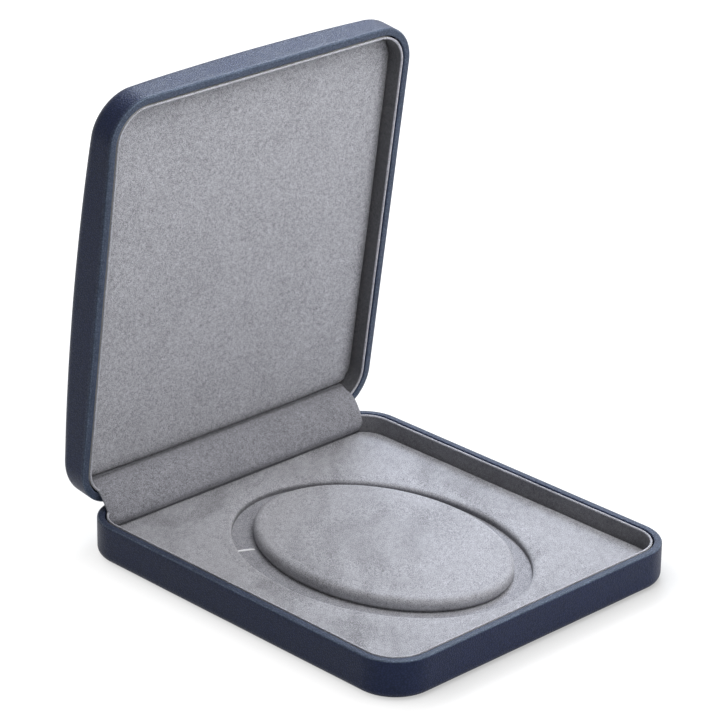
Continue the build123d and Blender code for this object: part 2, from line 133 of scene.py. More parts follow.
def finished(name, mesh, material, crease=35):
    """Turns a mesh into a piece with outward faces and soft shading up to the crease angle."""
    shape = bmesh.new()
    shape.from_mesh(mesh)
    bmesh.ops.remove_doubles(shape, verts=shape.verts, dist=0.001 * MM)
    bmesh.ops.recalc_face_normals(shape, faces=shape.faces)
    shape.to_mesh(mesh)
    shape.free()
    soften(mesh, crease)
    mesh.materials.clear()
    mesh.materials.append(material)
    return in_scene(name, mesh)


def profile_rows(walk, profile):
    """The points of an upright profile at each station of a walk round the box."""
    return [[at(station, *spot) for spot in profile] for station in walk]


def swept(rows, closed):
    """A mesh through rows of points, each row a closed loop; an open sweep gets end caps."""
    width = len(rows[0])
    points = [point for row in rows for point in row]
    faces = []
    for row in range(len(rows) if closed else len(rows) - 1):
        for column in range(width):
            here = row * width + column
            beside = row * width + (column + 1) % width
            over = (row + 1) % len(rows) * width
            faces.append((here, beside, over + (column + 1) % width, over + column))
    if not closed:
        faces.append(tuple(range(width)))
        faces.append(tuple(range(len(points) - width, len(points)))[::-1])
    mesh = bpy.data.meshes.new("swept")
    mesh.from_pydata(points, [], faces)
    return mesh


def rippled(mesh, size, depth):
    """Gives a surface the small unevenness of skin or cloth drawn over a form."""
    moves = [noise.noise(vertex.co / size) * depth * vertex.normal for vertex in mesh.vertices]
    for vertex, move in zip(mesh.vertices, moves):
        vertex.co += move
    mesh.update()
    return mesh


def cut_block(piece, form):
    """Cuts a block out of a piece: a cube of 1 m, placed and sized by a matrix."""
    mesh = bpy.data.meshes.new("block")
    shape = bmesh.new()
    bmesh.ops.create_cube(shape, size=1, matrix=form)
    shape.to_mesh(mesh)
    shape.free()
    block = in_scene("block", mesh)
    cut = piece.modifiers.new("cut", "BOOLEAN")
    cut.operation = "DIFFERENCE"
    cut.object = block
    settle(piece)
    bpy.data.objects.remove(block)


def settle(piece):
    """Applies a piece's modifiers to its mesh."""
    bpy.context.view_layer.update()
    evaluated = piece.evaluated_get(bpy.context.evaluated_depsgraph_get())
    mesh = bpy.data.meshes.new_from_object(evaluated)
    piece.modifiers.clear()
    piece.data = mesh


def add_node(tree, kind, inputs=None, out=0, **settings):
    """Adds a node with its settings, sets or links its inputs, and gives one output or all."""
    added = tree.nodes.new(kind)
    for name, value in settings.items():
        setattr(added, name, value)
    for socket, value in (inputs or {}).items():
        if isinstance(value, bpy.types.NodeSocket):
            tree.links.new(value, added.inputs[socket])
        else:
            added.inputs[socket].default_value = value
    return added.outputs if out is None else added.outputs[out]


def add_math(tree, operation, *values, clamp=False):
    """A number worked out from one, two or three others."""
    inputs = dict(enumerate(values))
    return add_node(tree, "ShaderNodeMath", inputs, operation=operation, use_clamp=clamp)


def add_noise(tree, place, scale, detail, **further):
    """A cloudy pattern; further names more inputs of its node, such as its roughness."""
    inputs = {"Vector": place, "Scale": scale, "Detail": detail, **further}
    return add_node(tree, "ShaderNodeTexNoise", inputs)


def blend_numbers(tree, low, high, share):
    """A number that goes from low to high as a pattern goes from 0 to 1."""
    inputs = {"Value": share, "To Min": low, "To Max": high}
    return add_node(tree, "ShaderNodeMapRange", inputs)


def blend_tones(tree, first, second, share):
    """A colour that goes from the first to the second as a pattern goes from 0 to 1."""
    inputs = {"Fac": share, "Color1": first, "Color2": second}
    return add_node(tree, "ShaderNodeMixRGB", inputs)


def multiplied(tree, vector, factor):
    """A colour or place times a number or another vector."""
    inputs = {0: vector, 1: factor}
    return add_node(tree, "ShaderNodeVectorMath", inputs, operation="MULTIPLY")


def stepped(tree, value, low, high):
    """A soft step from 0 to 1 as a value passes from low to high."""
    inputs = {"Value": value, "From Min": low, "From Max": high}
    return add_node(tree, "ShaderNodeMapRange", inputs, interpolation_type="SMOOTHSTEP")


def read_mark(tree, name):
    """The share, from 0 to 1, that the marks on a mesh give a point."""
    return add_node(tree, "ShaderNodeAttribute", out="Fac", attribute_name=name)


def set_surface(tree, shader, colour, rough, height, strength, distance):
    """Links a colour, a roughness and a fine relief to a material's shader."""
    tree.links.new(colour, shader.inputs["Base Color"])
    tree.links.new(rough, shader.inputs["Roughness"])
    relief = {"Height": height, "Strength": strength, "Distance": distance}
    tree.links.new(add_node(tree, "ShaderNodeBump", relief), shader.inputs["Normal"])


def new_group(name, inputs, outputs, purpose="ShaderNodeTree"):
    """An empty node group with named sockets, and its two end nodes."""
    group = bpy.data.node_groups.new(name, purpose)
    for label, kind, value in inputs:
        socket = group.interface.new_socket(label, in_out="INPUT", socket_type=kind)
        if value is not None:
            socket.default_value = value
    for label, kind in outputs:
        group.interface.new_socket(label, in_out="OUTPUT", socket_type=kind)
    return group, group.nodes.new("NodeGroupInput"), group.nodes.new("NodeGroupOutput")


def new_material(name):
    """A material with its shader and the place on the object that its patterns read."""
    material = bpy.data.materials.new(name)
    material.use_nodes = True
    tree = material.node_tree
    place = add_node(tree, "ShaderNodeTexCoord", out="Object")
    return material, tree, tree.nodes["Principled BSDF"], place


def grain_group():
    """Pebbled grain: rounded cells with fine creases between them, and cloudy wear."""
    sockets = [("Place", "NodeSocketVector", None), ("Cells per metre", "NodeSocketFloat", 1000.0)]
    results = [(label, "NodeSocketFloat") for label in ("Height", "Pebbles", "Cloud")]
    group, given, result = new_group("pebbled_grain", sockets, results)
    place, cells = given.outputs[0], given.outputs[1]
    inputs = {"Vector": place, "Scale": 420.0, "Detail": 2.0}
    bend = add_node(group, "ShaderNodeTexNoise", inputs, "Color")
    shift = multiplied(group, bend, (GRAIN_BEND, GRAIN_BEND, GRAIN_BEND))
    bent = add_node(group, "ShaderNodeVectorMath", {0: place, 1: shift}, operation="ADD")
    inputs = {"Vector": bent, "Scale": cells}
    creases = add_node(group, "ShaderNodeTexVoronoi", inputs, "Distance", feature="DISTANCE_TO_EDGE")
    pebbles = stepped(group, creases, 0, 0.28)
    pores = add_noise(group, place, 3800.0, 2.0)
    height = add_math(group, "MULTIPLY_ADD", pores, 0.5, pebbles)
    cloud = add_noise(group, place, 55.0, 7.0, Roughness=0.75)
    for label, value in (("Height", height), ("Pebbles", pebbles), ("Cloud", cloud)):
        group.links.new(value, result.inputs[label])
    return group


pebbled_grain = grain_group()


def leatherette_material():
    """Dark grained leatherette: paler and smoother on its rim edges, from wear and a painted highlight;
    darker with painted shade and duller at its foot.
    """
    material, tree, shader, place = new_material("leatherette")
    inputs = {"Place": place, "Cells per metre": GRAIN_CELLS}
    grain = add_node(tree, "ShaderNodeGroup", inputs, None, node_tree=pebbled_grain)
    wear_and_painted_light, foot_shade_and_dulling = read_mark(tree, "wear_and_painted_light"), read_mark(tree, "foot_shade_and_dulling")
    cloudy = blend_numbers(tree, 0.7, 1.3, grain["Cloud"])
    # Wear and a painted highlight: the rim edges turn paler and bluer.
    wear_highlight_share = add_math(tree, "MULTIPLY", wear_and_painted_light, cloudy, clamp=True)
    tone = blend_tones(tree, LEATHERETTE, LEATHERETTE_WORN_HIGHLIGHT, wear_highlight_share)
    creased = blend_numbers(tree, 0.62, 1.18, grain["Pebbles"])
    # Painted shade: the colour darkens towards the bottom edge, where the box meets the floor.
    painted_foot_shade = blend_numbers(tree, 1.0, 0.25, foot_shade_and_dulling)
    shade = add_math(tree, "MULTIPLY", add_math(tree, "MULTIPLY", cloudy, creased), painted_foot_shade)
    colour = multiplied(tree, tone, shade)
    rough = blend_numbers(tree, 0.34, 0.54, grain["Cloud"])
    polished = add_math(tree, "MULTIPLY_ADD", wear_and_painted_light, -0.16, rough)
    dulled = add_math(tree, "MULTIPLY_ADD", foot_shade_and_dulling, 0.6, polished, clamp=True)
    set_surface(tree, shader, colour, dulled, grain["Height"], 1.0, 0.00009)
    shader.inputs["Specular IOR Level"].default_value = 0.185
    shader.inputs["Specular Tint"].default_value = LEATHERETTE_SHINE
    return material


leatherette = leatherette_material()


def inset_of(x, y):
    """How far inside the box's outline a point of the plan lies."""
    side_x = abs(x) - (BOX_WIDTH / 2 - CORNER)
    side_y = abs(y) - (BOX_DEPTH / 2 - CORNER)
    return CORNER - math.hypot(max(side_x, 0), max(side_y, 0)) - min(max(side_x, side_y), 0)


def mark(piece, name, amount):
    """Marks each point of a piece with a share of wear, painted highlight or painted shade, for its
    material to read.
    """
    marks = piece.data.attributes.new(name, "FLOAT", "POINT")
    values = [min(1.0, max(0.0, amount(vertex.co))) for vertex in piece.data.vertices]
    marks.data.foreach_set("value", values)


def rim_wear_and_highlight(height, flat=0.3):
    """The wear and painted highlight of a rim, strongest where its outer edge turns over and weaker on its
    flat.
    """
    def wear(spot):
        below = abs(spot.z - height)
        edge = 1.3 - (below + abs(inset_of(spot.x, spot.y) - 0.3 * MM)) / (0.75 * MM)
        return max(edge, flat - below / (3 * MM))

    return wear


def folded_border(mesh):
    """Presses the small folds of the turned corners into the border under the box."""
    for vertex in mesh.vertices:
        x = abs(vertex.co.x) - (BOX_WIDTH / 2 - CORNER)
        y = abs(vertex.co.y) - (BOX_DEPTH / 2 - CORNER)
        if x > 0 and y > 0 and vertex.co.z < BASE_UNDERSIDE + SKIN / 2:
            reach = min(1, max(0, (CORNER - math.hypot(x, y)) / BASE_EDGE - 0.6))
            fold = 0.5 - 0.5 * math.cos(math.atan2(y, x) * 4 * CORNER_FOLDS)
            vertex.co.z += BORDER_FOLD * reach * fold


def rim_profile(rim, up):
    """A skin's rim in side view, rolled over and turned in; up is -1 in the lid, where it hangs."""
    spots = arc(RIM_ROLL, -RIM_ROLL, RIM_ROLL, 180, 90)
    spots += arc(RIM_WIDTH - RIM_INNER_ROLL, -RIM_INNER_ROLL, RIM_INNER_ROLL, 90, 0, 5)
    spots += rise(RIM_WIDTH, -2 * RIM_ROLL, -TURN_IN, 3)
    spots += rise(RIM_WIDTH - SKIN, -TURN_IN, -SKIN, 2)
    return [(inset, rim + up * height) for inset, height in spots]


ring = stations(22, 3 * MM)
base_profile = [
    (BORDER, BASE_UNDERSIDE),
    (BORDER * 0.7, BASE_UNDERSIDE),
    (BASE_EDGE * 1.9, BASE_UNDERSIDE),
    (BASE_EDGE * 1.4, BASE_UNDERSIDE),
    *arc(BASE_EDGE, BASE_UNDERSIDE + BASE_EDGE, BASE_EDGE, 270, 180, 9),
    *rise(0, BASE_UNDERSIDE + BASE_EDGE, RIM_TOP - RIM_ROLL, 8)[1:-1],
    *rim_profile(RIM_TOP, 1),
    *rise(SKIN, RIM_TOP - SKIN, BASE_UNDERSIDE + BASE_EDGE, 4),
    *arc(BASE_EDGE, BASE_UNDERSIDE + BASE_EDGE, BASE_EDGE - SKIN, 180, 270, 6)[1:],
    (BORDER, BASE_UNDERSIDE + SKIN),
]
base_skin_mesh = swept(profile_rows(ring, base_profile), True)
folded_border(base_skin_mesh)
rippled(base_skin_mesh, SKIN_WAVE, SKIN_WAVE_DEPTH)
base_skin = finished("base_leatherette", base_skin_mesh, leatherette)

pin = Vector(frame["joints"][0]["pos_m"])
HINGE_HALF = 62.1 * MM
BARREL_ROOM = 1.95 * MM
SLOT_DEPTH = 12 * MM
SLOT_PAST = 5 * MM
back_wall = BOX_DEPTH / 2


def cut_hinge_slot(skin, below, above):
    """Cuts the slot for the hinge into a skin's rear rim, from below the pin to above it."""
    low = Vector((-HINGE_HALF, back_wall - SLOT_DEPTH, pin.z - below))
    high = Vector((HINGE_HALF, back_wall + SLOT_PAST, pin.z + above))
    cut_block(skin, Matrix.Translation((low + high) / 2) @ Matrix.Diagonal((*(high - low), 1)))
    soften(skin.data)


cut_hinge_slot(base_skin, BARREL_ROOM, 0)
# The rim's outer roll is marked paler and smoother: wear and a painted highlight.
mark(base_skin, "wear_and_painted_light", rim_wear_and_highlight(RIM_TOP))
# The bottom edge is made darker, a painted shade where the box meets the floor, and duller.
mark(base_skin, "foot_shade_and_dulling", lambda spot: 1.4 - spot.z / (1.6 * MM))
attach(base_skin, "base")
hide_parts("base_wrap")


# THE MOULDED SHELLS
# Base and lid each have a black moulded shell with crossing ribs inside. Only thin lines
# of them show, where the leatherette is cut away for the hinge.

def moulded_material():
    """Black moulded plastic with a faint spark-eroded texture."""
    material, tree, shader, place = new_material("moulded_black")
    spark = add_noise(tree, place, 1500.0, 3.0)
    flow = add_noise(tree, place, 40.0, 2.0, Distortion=0.6)
    tone = blend_tones(tree, (0.012, 0.012, 0.014, 1), (0.02, 0.02, 0.023, 1), flow)
    set_surface(tree, shader, tone, blend_numbers(tree, 0.45, 0.62, spark), spark, 0.3, 0.00005)
    return material


moulded_black = moulded_material()


def dress(names, material):
    """Gives carried-over CAD nodes their finish."""
    for name in names:
        for slot in frame["nodes"][name].material_slots:
            slot.material = material


dress(["base_shell", "lid_shell"], moulded_black)


# THE UNDERSIDE
# A sheet of dark embossed paper is glued over the turned border, on a card filler of the
# border's thickness. The box rests on it.
SHEET_MARGIN = 8 * MM
SHEET_EDGE = 0.12 * MM


def bottom_paper_material():
    """Dark bookbinder's paper with a fine embossed linen pattern, worn where it slides."""
    material, tree, shader, place = new_material("bottom_paper")
    across = add_node(tree, "ShaderNodeSeparateXYZ", {0: place}, None)
    turns = [add_math(tree, "MULTIPLY", across[axis], 7500.0) for axis in "XY"]
    weave = add_math(tree, "MULTIPLY", *[add_math(tree, "SINE", turn) for turn in turns])
    scuffs = add_noise(tree, place, 90.0, 6.0, Roughness=0.7)
    worn = add_node(tree, "ShaderNodeMapRange", {"Value": scuffs, "From Min": 0.56, "From Max": 0.75})
    tone = blend_tones(tree, (0.011, 0.011, 0.015, 1), (0.035, 0.035, 0.04, 1), worn)
    set_surface(tree, shader, tone, blend_numbers(tree, 0.62, 0.8, scuffs), weave, 0.35, 0.00005)
    return material


bottom_paper = bottom_paper_material()
paper_profile = [
    (BORDER * 1.6, BASE_UNDERSIDE),
    (SHEET_MARGIN + SHEET_EDGE, BASE_UNDERSIDE),
    (SHEET_MARGIN, BASE_UNDERSIDE - SHEET_EDGE),
    (SHEET_MARGIN, SHEET_EDGE),
    (SHEET_MARGIN + SHEET_EDGE, 0),
    (BORDER * 1.6, 0),
]
paper_rings = list(zip(*profile_rows(stations(16, 8 * MM), paper_profile)))
bottom_sheet = finished("bottom_sheet", swept(paper_rings, False), bottom_paper)
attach(bottom_sheet, "base")
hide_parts("base_bottom_sheet")


# THE BOARDS
# Grey-white board, cut with a knife, stiffens the collars, the channel's floor, the insert
# and both pads. It shows only as thin cut edges.

def board_material():
    """Pulp board with a fibrous face and thin layers in its cut edge."""
    material, tree, shader, place = new_material("lining_board")
    layers = add_node(tree, "ShaderNodeMapping", {"Vector": place, "Scale": (500.0, 500.0, 4200.0)})
    fibres = add_noise(tree, layers, 1.0, 4.0)
    tone = blend_tones(tree, (0.50, 0.49, 0.46, 1), (0.72, 0.71, 0.68, 1), fibres)
    set_surface(tree, shader, tone, blend_numbers(tree, 0.82, 0.95, fibres), fibres, 0.4, 0.0001)
    return material


lining_board = board_material()
dress(["base_bottom_filler", "base_collar_board", "channel_card", "insert_board"], lining_board)
dress(["oval_pad_board", "lid_collar_board", "lid_pad_board"], lining_board)


# THE FOAMS
# Thin sheets of open-cell foam lie under the insert's suede, in both pads and under the
# lid's leatherette, where they give the top its soft feel.

def foam_material():
    """Off-white open-cell foam."""
    material, tree, shader, place = new_material("cell_foam")
    inputs = {"Vector": place, "Scale": 1600.0}
    cells = add_node(tree, "ShaderNodeTexVoronoi", inputs, "Distance")
    tone = blend_tones(tree, (0.80, 0.79, 0.72, 1), (0.55, 0.54, 0.48, 1), cells)
    set_surface(tree, shader, tone, blend_numbers(tree, 0.85, 0.98, cells), cells, 0.8, 0.0003)
    return material


cell_foam = foam_material()
dress(["insert_foam", "oval_pad_foam", "lid_top_foam", "lid_pad_foam"], cell_foam)


# THE BASE'S COLLAR LINING
# A suede-covered board stands behind the rim on three sides, a dark gap away from it. The
# suede turns over the board's free edge, which makes the thin pale line along the rim; a
# painted highlight makes the line paler still, and painted shade darkens the face below it.
SUEDE = 0.5 * MM
COLLAR_BOARD = 0.6 * MM
COLLAR_OUTER = RIM_WIDTH + 0.8 * MM
COLLAR_FACE = COLLAR_OUTER + COLLAR_BOARD
COLLAR_INNER = COLLAR_FACE + SUEDE
COLLAR_TOP = RIM_TOP - 0.1 * MM
BASE_FLOOR = 2.8 * MM
LINING_WAVE = 14 * MM
LINING_LIFT = 0.12 * MM


def nap_group():
    """Suede's nap: fine fibres, soft tufts, and larger patches where it has been stroked."""
    sockets = [
        ("Place", "NodeSocketVector", None),
        ("Fibres", "NodeSocketFloat", 1.0),
        ("Patches", "NodeSocketFloat", 0.3),
    ]
    results = [("Shade", "NodeSocketFloat"), ("Height", "NodeSocketFloat")]
    group, given, result = new_group("suede_nap", sockets, results)
    place = given.outputs["Place"]
    fibres = add_noise(group, place, 2900.0, 1.0, Roughness=0.6)
    tufts = add_noise(group, place, 520.0, 2.0, Roughness=0.5)
    wide = add_noise(group, place, 34.0, 3.0, Roughness=0.5, Distortion=0.9)
    patches = stepped(group, wide, 0.32, 0.6)
    fine = add_math(group, "SUBTRACT", add_math(group, "MULTIPLY_ADD", tufts, 0.25, fibres), 0.625)
    strong = add_math(group, "MULTIPLY_ADD", fine, given.outputs["Fibres"], 0.5)
    lean = add_math(group, "SUBTRACT", patches, 1.0)
    shade = add_math(group, "MULTIPLY_ADD", lean, given.outputs["Patches"], strong)
    group.links.new(shade, result.inputs["Shade"])
    group.links.new(fine, result.inputs["Height"])
    return group


suede_nap = nap_group()
SUEDE_DARK = (0.15, 0.15, 0.161, 1)
SUEDE_PALE = (0.60, 0.60, 0.645, 1)


def suede_material(name, fibres, patches, dark=SUEDE_DARK, pale=SUEDE_PALE, brushed=1.0, painted_shade_level=0.42):
    """Grey suede cloth: its short nap lies in soft patches, and painted shade darkens it where its mesh is
    marked.
    """
    material, tree, shader, place = new_material(name)
    stroke = {"Vector": place, "Rotation": (0, 0, -math.pi / 4), "Scale": (1, brushed, 1)}
    place = add_node(tree, "ShaderNodeMapping", stroke, vector_type="TEXTURE")
    inputs = {"Place": place, "Fibres": fibres, "Patches": patches}
    nap = add_node(tree, "ShaderNodeGroup", inputs, None, node_tree=suede_nap)
    # Painted shade from the mesh's marks, down to a share of the colour.
    shade_factor = blend_numbers(tree, 1.0, painted_shade_level, read_mark(tree, "painted_shade"))
    colour = multiplied(tree, blend_tones(tree, dark, pale, nap["Shade"]), shade_factor)
    rough = blend_numbers(tree, 0.86, 1.0, nap["Shade"])
    set_surface(tree, shader, colour, rough, nap["Height"], 0.5, 0.00025)
    shader.inputs["Specular IOR Level"].default_value = 0.15
    shader.inputs["Sheen Weight"].default_value = 0.12
    shader.inputs["Sheen Roughness"].default_value = 0.45
    return material


# Paler than the other suede: a painted highlight on the turned top edge; painted shade brings the face
# down.
collar_painted_light_tones = {"dark": (0.176, 0.176, 0.194, 1), "pale": (0.69, 0.69, 0.75, 1)}
collar_suede = suede_material("collar_suede", 1.8, 0.08, **collar_painted_light_tones, painted_shade_level=0.22)


def collar_profile(top, foot, up):
    """The lining in side view, from the board's outer edge over its top and down its face."""
    rolls = arc(COLLAR_OUTER + SUEDE, top - SUEDE, SUEDE, 180, 90, 5)
    rolls += arc(COLLAR_INNER - SUEDE, top - SUEDE, SUEDE, 90, 0, 5)
    turned = [(inset, top + (height - top) * up) for inset, height in rolls]
    face = rise(COLLAR_INNER, top - 2 * SUEDE * up, foot, 5)
    shoulder = top - SUEDE * up
    return [(COLLAR_OUTER, shoulder), *turned, *face, (COLLAR_FACE, foot), (COLLAR_FACE, shoulder)]


corner_start = BOX_WIDTH / 2 - CORNER
collar_walk = [stop for stop in ring if abs(stop[0]) >= corner_start - 0.1 * MM or stop[1] < 0]


def collar_lining(name, top, foot, up):
    """The lining of one collar; up is -1 in the lid, where its turned edge looks down."""
    mesh = swept(profile_rows(collar_walk, collar_profile(top, foot, up)), False)
    return finished(name, rippled(mesh, LINING_WAVE, LINING_LIFT), collar_suede, 50)


base_lining = collar_lining("base_collar_suede", COLLAR_TOP, BASE_FLOOR, 1)
# Painted shade on the lining's face, below its pale turned edge.
mark(base_lining, "painted_shade", lambda spot: min(0.85, (COLLAR_TOP - spot.z - 0.4 * MM) / (0.5 * MM)))
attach(base_lining, "base")
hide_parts("base_collar_lining")


# THE CHANNEL'S FLOOR
# A suede-lined card lies under the insert and shows as the floor of the oval channel. Two
# knife slits across the channel take the chain's ends; their far lips stand up a little
# and show the pale back of the suede.
INSERT_INSET = COLLAR_INNER + 0.3 * MM
CHANNEL_FLOOR = 6.6 * MM
CHANNEL_WIDTH = 9.7 * MM
HOLE_X = 61.4 * MM
HOLE_Y = 80.5 * MM
HOLE_BACK = -2.0 * MM
SLIT_ANGLE = 35.5
SLIT_LENGTH = 11 * MM
SLIT_WIDTH = 0.9 * MM
LIP_WIDTH = 1.8 * MM
LIP_RISE = 0.5 * MM
LIP_END = 0.6 * MM

# The channel's suede is a darker copy of the tray's: painted shade in the recess.
channel_painted_shade_tones = {"dark": (0.125, 0.125, 0.137, 1), "pale": (0.50, 0.50, 0.545, 1)}
channel_suede = suede_material("channel_suede", 2.0, 0.08, **channel_painted_shade_tones, brushed=2.0)
floor_profile = [
    (BORDER * 1.2, CHANNEL_FLOOR),
    (INSERT_INSET, CHANNEL_FLOOR),
    (INSERT_INSET, CHANNEL_FLOOR - SUEDE),
    (BORDER * 1.2, CHANNEL_FLOOR - SUEDE),
]
floor_rings = list(zip(*profile_rows(stations(10, 12 * MM), floor_profile)))
channel_floor = finished("channel_suede", swept(floor_rings, False), channel_suede)


def slit_frame(side):
    """The middle of a slit, the way it runs across the channel, and the way to its far lip."""
    half_x = HOLE_X - CHANNEL_WIDTH / 2
    half_y = HOLE_Y - CHANNEL_WIDTH / 2
    turn = math.radians(SLIT_ANGLE)
    middle = Vector((side * half_x * math.cos(turn), HOLE_BACK + half_y * math.sin(turn), CHANNEL_FLOOR))
    across = Vector((side * math.cos(turn) / half_x, math.sin(turn) / half_y, 0)).normalized()
    return middle, across, Vector((-side * across.y, side * across.x, 0))


def cut_slit(side):
    """Cuts one slit through the channel's suede."""
    middle, across, far = slit_frame(side)
    turn = Matrix((across, far, (0, 0, 1))).transposed().to_4x4()
    size = Matrix.Diagonal((SLIT_LENGTH, SLIT_WIDTH, 4 * SUEDE, 1))
    cut_block(channel_floor, Matrix.Translation(middle) @ turn @ size)


def slit_lip(side):
    """The raised far lip of a slit: a narrow curl of the suede with its pale back outwards."""
    middle, across, far = slit_frame(side)
    half = SLIT_LENGTH / 2 - LIP_END
    rows = []
    for step in range(13):
        along = (step / 6 - 1) * half
        swell = 1 - (step / 6 - 1) ** 4
        edge = middle + across * along + far * SLIT_WIDTH * 0.42
        lift = Vector((0, 0, LIP_RISE * swell))
        rows.append([
            edge - Vector((0, 0, SUEDE * 0.8)),
            edge,
            edge + lift * 0.25,
            edge + lift * 0.8,
            edge + far * LIP_WIDTH * 0.2 + lift,
            edge + far * LIP_WIDTH * 0.8 + lift * 0.8,
            edge + far * LIP_WIDTH - Vector((0, 0, SUEDE * 0.3)),
            edge + far * LIP_WIDTH * 0.5 - Vector((0, 0, SUEDE * 0.6)),
        ])
    return swept(rows, False)


def backing_material():
    """The pale knitted back of the suede cloth, darkened by painted shade where its mesh is marked."""
    material, tree, shader, place = new_material("suede_back")
    knit = add_noise(tree, place, 2600.0, 2.0)
    tone = blend_tones(tree, (0.78, 0.78, 0.81, 1), (0.92, 0.92, 0.94, 1), knit)
    colour = multiplied(tree, tone, blend_numbers(tree, 1.0, 0.04, read_mark(tree, "painted_shade")))
    set_surface(tree, shader, colour, blend_numbers(tree, 0.8, 0.95, knit), knit, 0.5, 0.0001)
    return material


suede_back = backing_material()
for side, label in ((-1, "left"), (1, "right")):
    cut_slit(side)
    lip = finished("slit_lip_" + label, slit_lip(side), suede_back, 60)
    # Painted shade: the lip goes dark below the channel's floor, down into the slit.
    mark(lip, "painted_shade", lambda spot: (CHANNEL_FLOOR + 0.1 * MM - spot.z) / (0.08 * MM))
    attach(lip, "base")
channel_floor.data.materials.clear()
channel_floor.data.materials.append(channel_suede)
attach(channel_floor, "base")
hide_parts("channel_lining")


# THE TRAY INSERT
# A foam-backed board covered in suede fills the tray. The suede rolls down into a large
# oval hole and over the outer edges, and the foam gives both a soft, drawn-down slope.
INSERT_TOP = 10.7 * MM
INSERT_BACK = 98.0 * MM
INSERT_ROLL = 0.8 * MM
HOLE_ROLL = 2.0 * MM
HOLE_DIP = 0.45 * MM
HOLE_DIP_REACH = 5.5 * MM
EDGE_DIP = 0.2 * MM
EDGE_DIP_REACH = 5 * MM
INSERT_WAVE = 22 * MM
INSERT_LIFT = 0.14 * MM
COVER_SHADE_REACH = 28 * MM
tray_suede = suede_material("tray_suede", 1.7, 0.22, brushed=2.0)


def roll_drop(distance, radius):
    """How far a rolled edge has dropped at a distance in from the edge."""
    if distance >= radius:
        return 0
    return radius - math.sqrt(radius ** 2 - (radius - max(distance, 0)) ** 2)


def dip(distance, depth, reach):
    """How far the foam is drawn down near an edge."""
    return depth * math.exp(-(distance / reach) ** 2)


def hole_distance(x, y):
    """How far a point lies outside the oval hole."""
    y -= HOLE_BACK
    reach = math.hypot(x / HOLE_X, y / HOLE_Y)
    return (reach - 1) * reach / math.hypot(x / HOLE_X ** 2, y / HOLE_Y ** 2)


def edge_distance(x, y):
    """How far a point lies inside the insert's outer edge."""
    return min(inset_of(x, y) - INSERT_INSET, INSERT_BACK - y)


def insert_height(point):
    """The insert's suede surface over a point of its plan."""
    hole = hole_distance(point.x, point.y)
    edge = edge_distance(point.x, point.y)
    drop = roll_drop(hole, HOLE_ROLL) + roll_drop(edge, INSERT_ROLL)
    return INSERT_TOP - drop - dip(hole, HOLE_DIP, HOLE_DIP_REACH) - dip(edge, EDGE_DIP, EDGE_DIP_REACH)


def ray_to_hole(angle):
    """The point of the hole's edge in a direction from its middle."""
    reach = 1 / math.hypot(math.cos(angle) / HOLE_X, math.sin(angle) / HOLE_Y)
    return Vector((reach * math.cos(angle), HOLE_BACK + reach * math.sin(angle), 0))


NEAR_STEPS = (0, 0.1, 0.3, 0.6, 1.0, 1.5, 2.1, 3.0, 4.2, 6.0, 8.5)
insert_rows = []
for station in stations(30, 2.2 * MM):
    outer = at(station, INSERT_INSET, 0)
    outer.y = min(outer.y, INSERT_BACK)
    inner = ray_to_hole(math.atan2(outer.y - HOLE_BACK, outer.x))
    away = (outer - inner).normalized()
    near = [inner + away * step * MM for step in NEAR_STEPS]
    far = [outer - away * step * MM for step in reversed(NEAR_STEPS)]
    middle = [near[-1].lerp(far[0], step / 7) for step in range(1, 7)]
    low, high = CHANNEL_FLOOR, CHANNEL_FLOOR + 1 * MM
    up = [(inner.x, inner.y, low), (inner.x, inner.y, high)]
    face = [(point.x, point.y, insert_height(point)) for point in near + middle + far]
    down = [(outer.x, outer.y, high), (outer.x, outer.y, low)]
    insert_rows.append([Vector(spot) for spot in up + face + down])
insert_mesh = rippled(swept(insert_rows, True), INSERT_WAVE, INSERT_LIFT)
insert_piece = finished("insert_suede", insert_mesh, tray_suede, 60)


def insert_painted_shade(spot):
    """Painted shade on the insert: deep in the hole, and a little near the hinge cover."""
    # Painted shade near the hinge cover.
    wear_and_painted_light = 0.15 * math.exp(-((INSERT_BACK - spot.y) / COVER_SHADE_REACH) ** 2)
    return max((INSERT_TOP - 1.3 * MM - spot.z) / (1.4 * MM), wear_and_painted_light)


mark(insert_piece, "painted_shade", insert_painted_shade)
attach(insert_piece, "base")
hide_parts("insert_cover")


# THE OVAL PAD
# The necklace lies over this pad: an oval board with thick foam, wrapped in suede that is
# glued underneath. The crown is low, and the edge is full and evenly rounded.
PAD_RIGHT = 1.2 * MM
PAD_TOP = 14.0 * MM
PAD_CROWN = 1.0 * MM
PAD_ROLL = 3.2 * MM
PAD_FOOT = 1.2 * MM
PAD_SLACK = 0.25 * MM
PAD_SWELL = 0.45 * MM
PAD_EASE = 0.06 * MM
PAD_POINTS = 144
PAD_VOXEL = 1.9 * MM
INFLATE_FRAMES = 20
pad_suede = suede_material("pad_suede", 1.5, 0.17, brushed=2.0)


def oval_line(inset):
    """Points round the pad at an inset from its widest line."""
    half_x = HOLE_X - CHANNEL_WIDTH - inset
    half_y = HOLE_Y - CHANNEL_WIDTH - inset
    line = []
    for step in range(PAD_POINTS):
        turn = 2 * math.pi * step / PAD_POINTS
        x, y = PAD_RIGHT + half_x * math.cos(turn), HOLE_BACK + half_y * math.sin(turn)
        line.append(Vector((x, y, 0)))
    return line


def pad_top(x, y):
    """The crowned face of the oval pad."""
    return PAD_TOP - pad_curve + math.sqrt(pad_curve ** 2 - (x - PAD_RIGHT) ** 2 - (y - HOLE_BACK) ** 2)


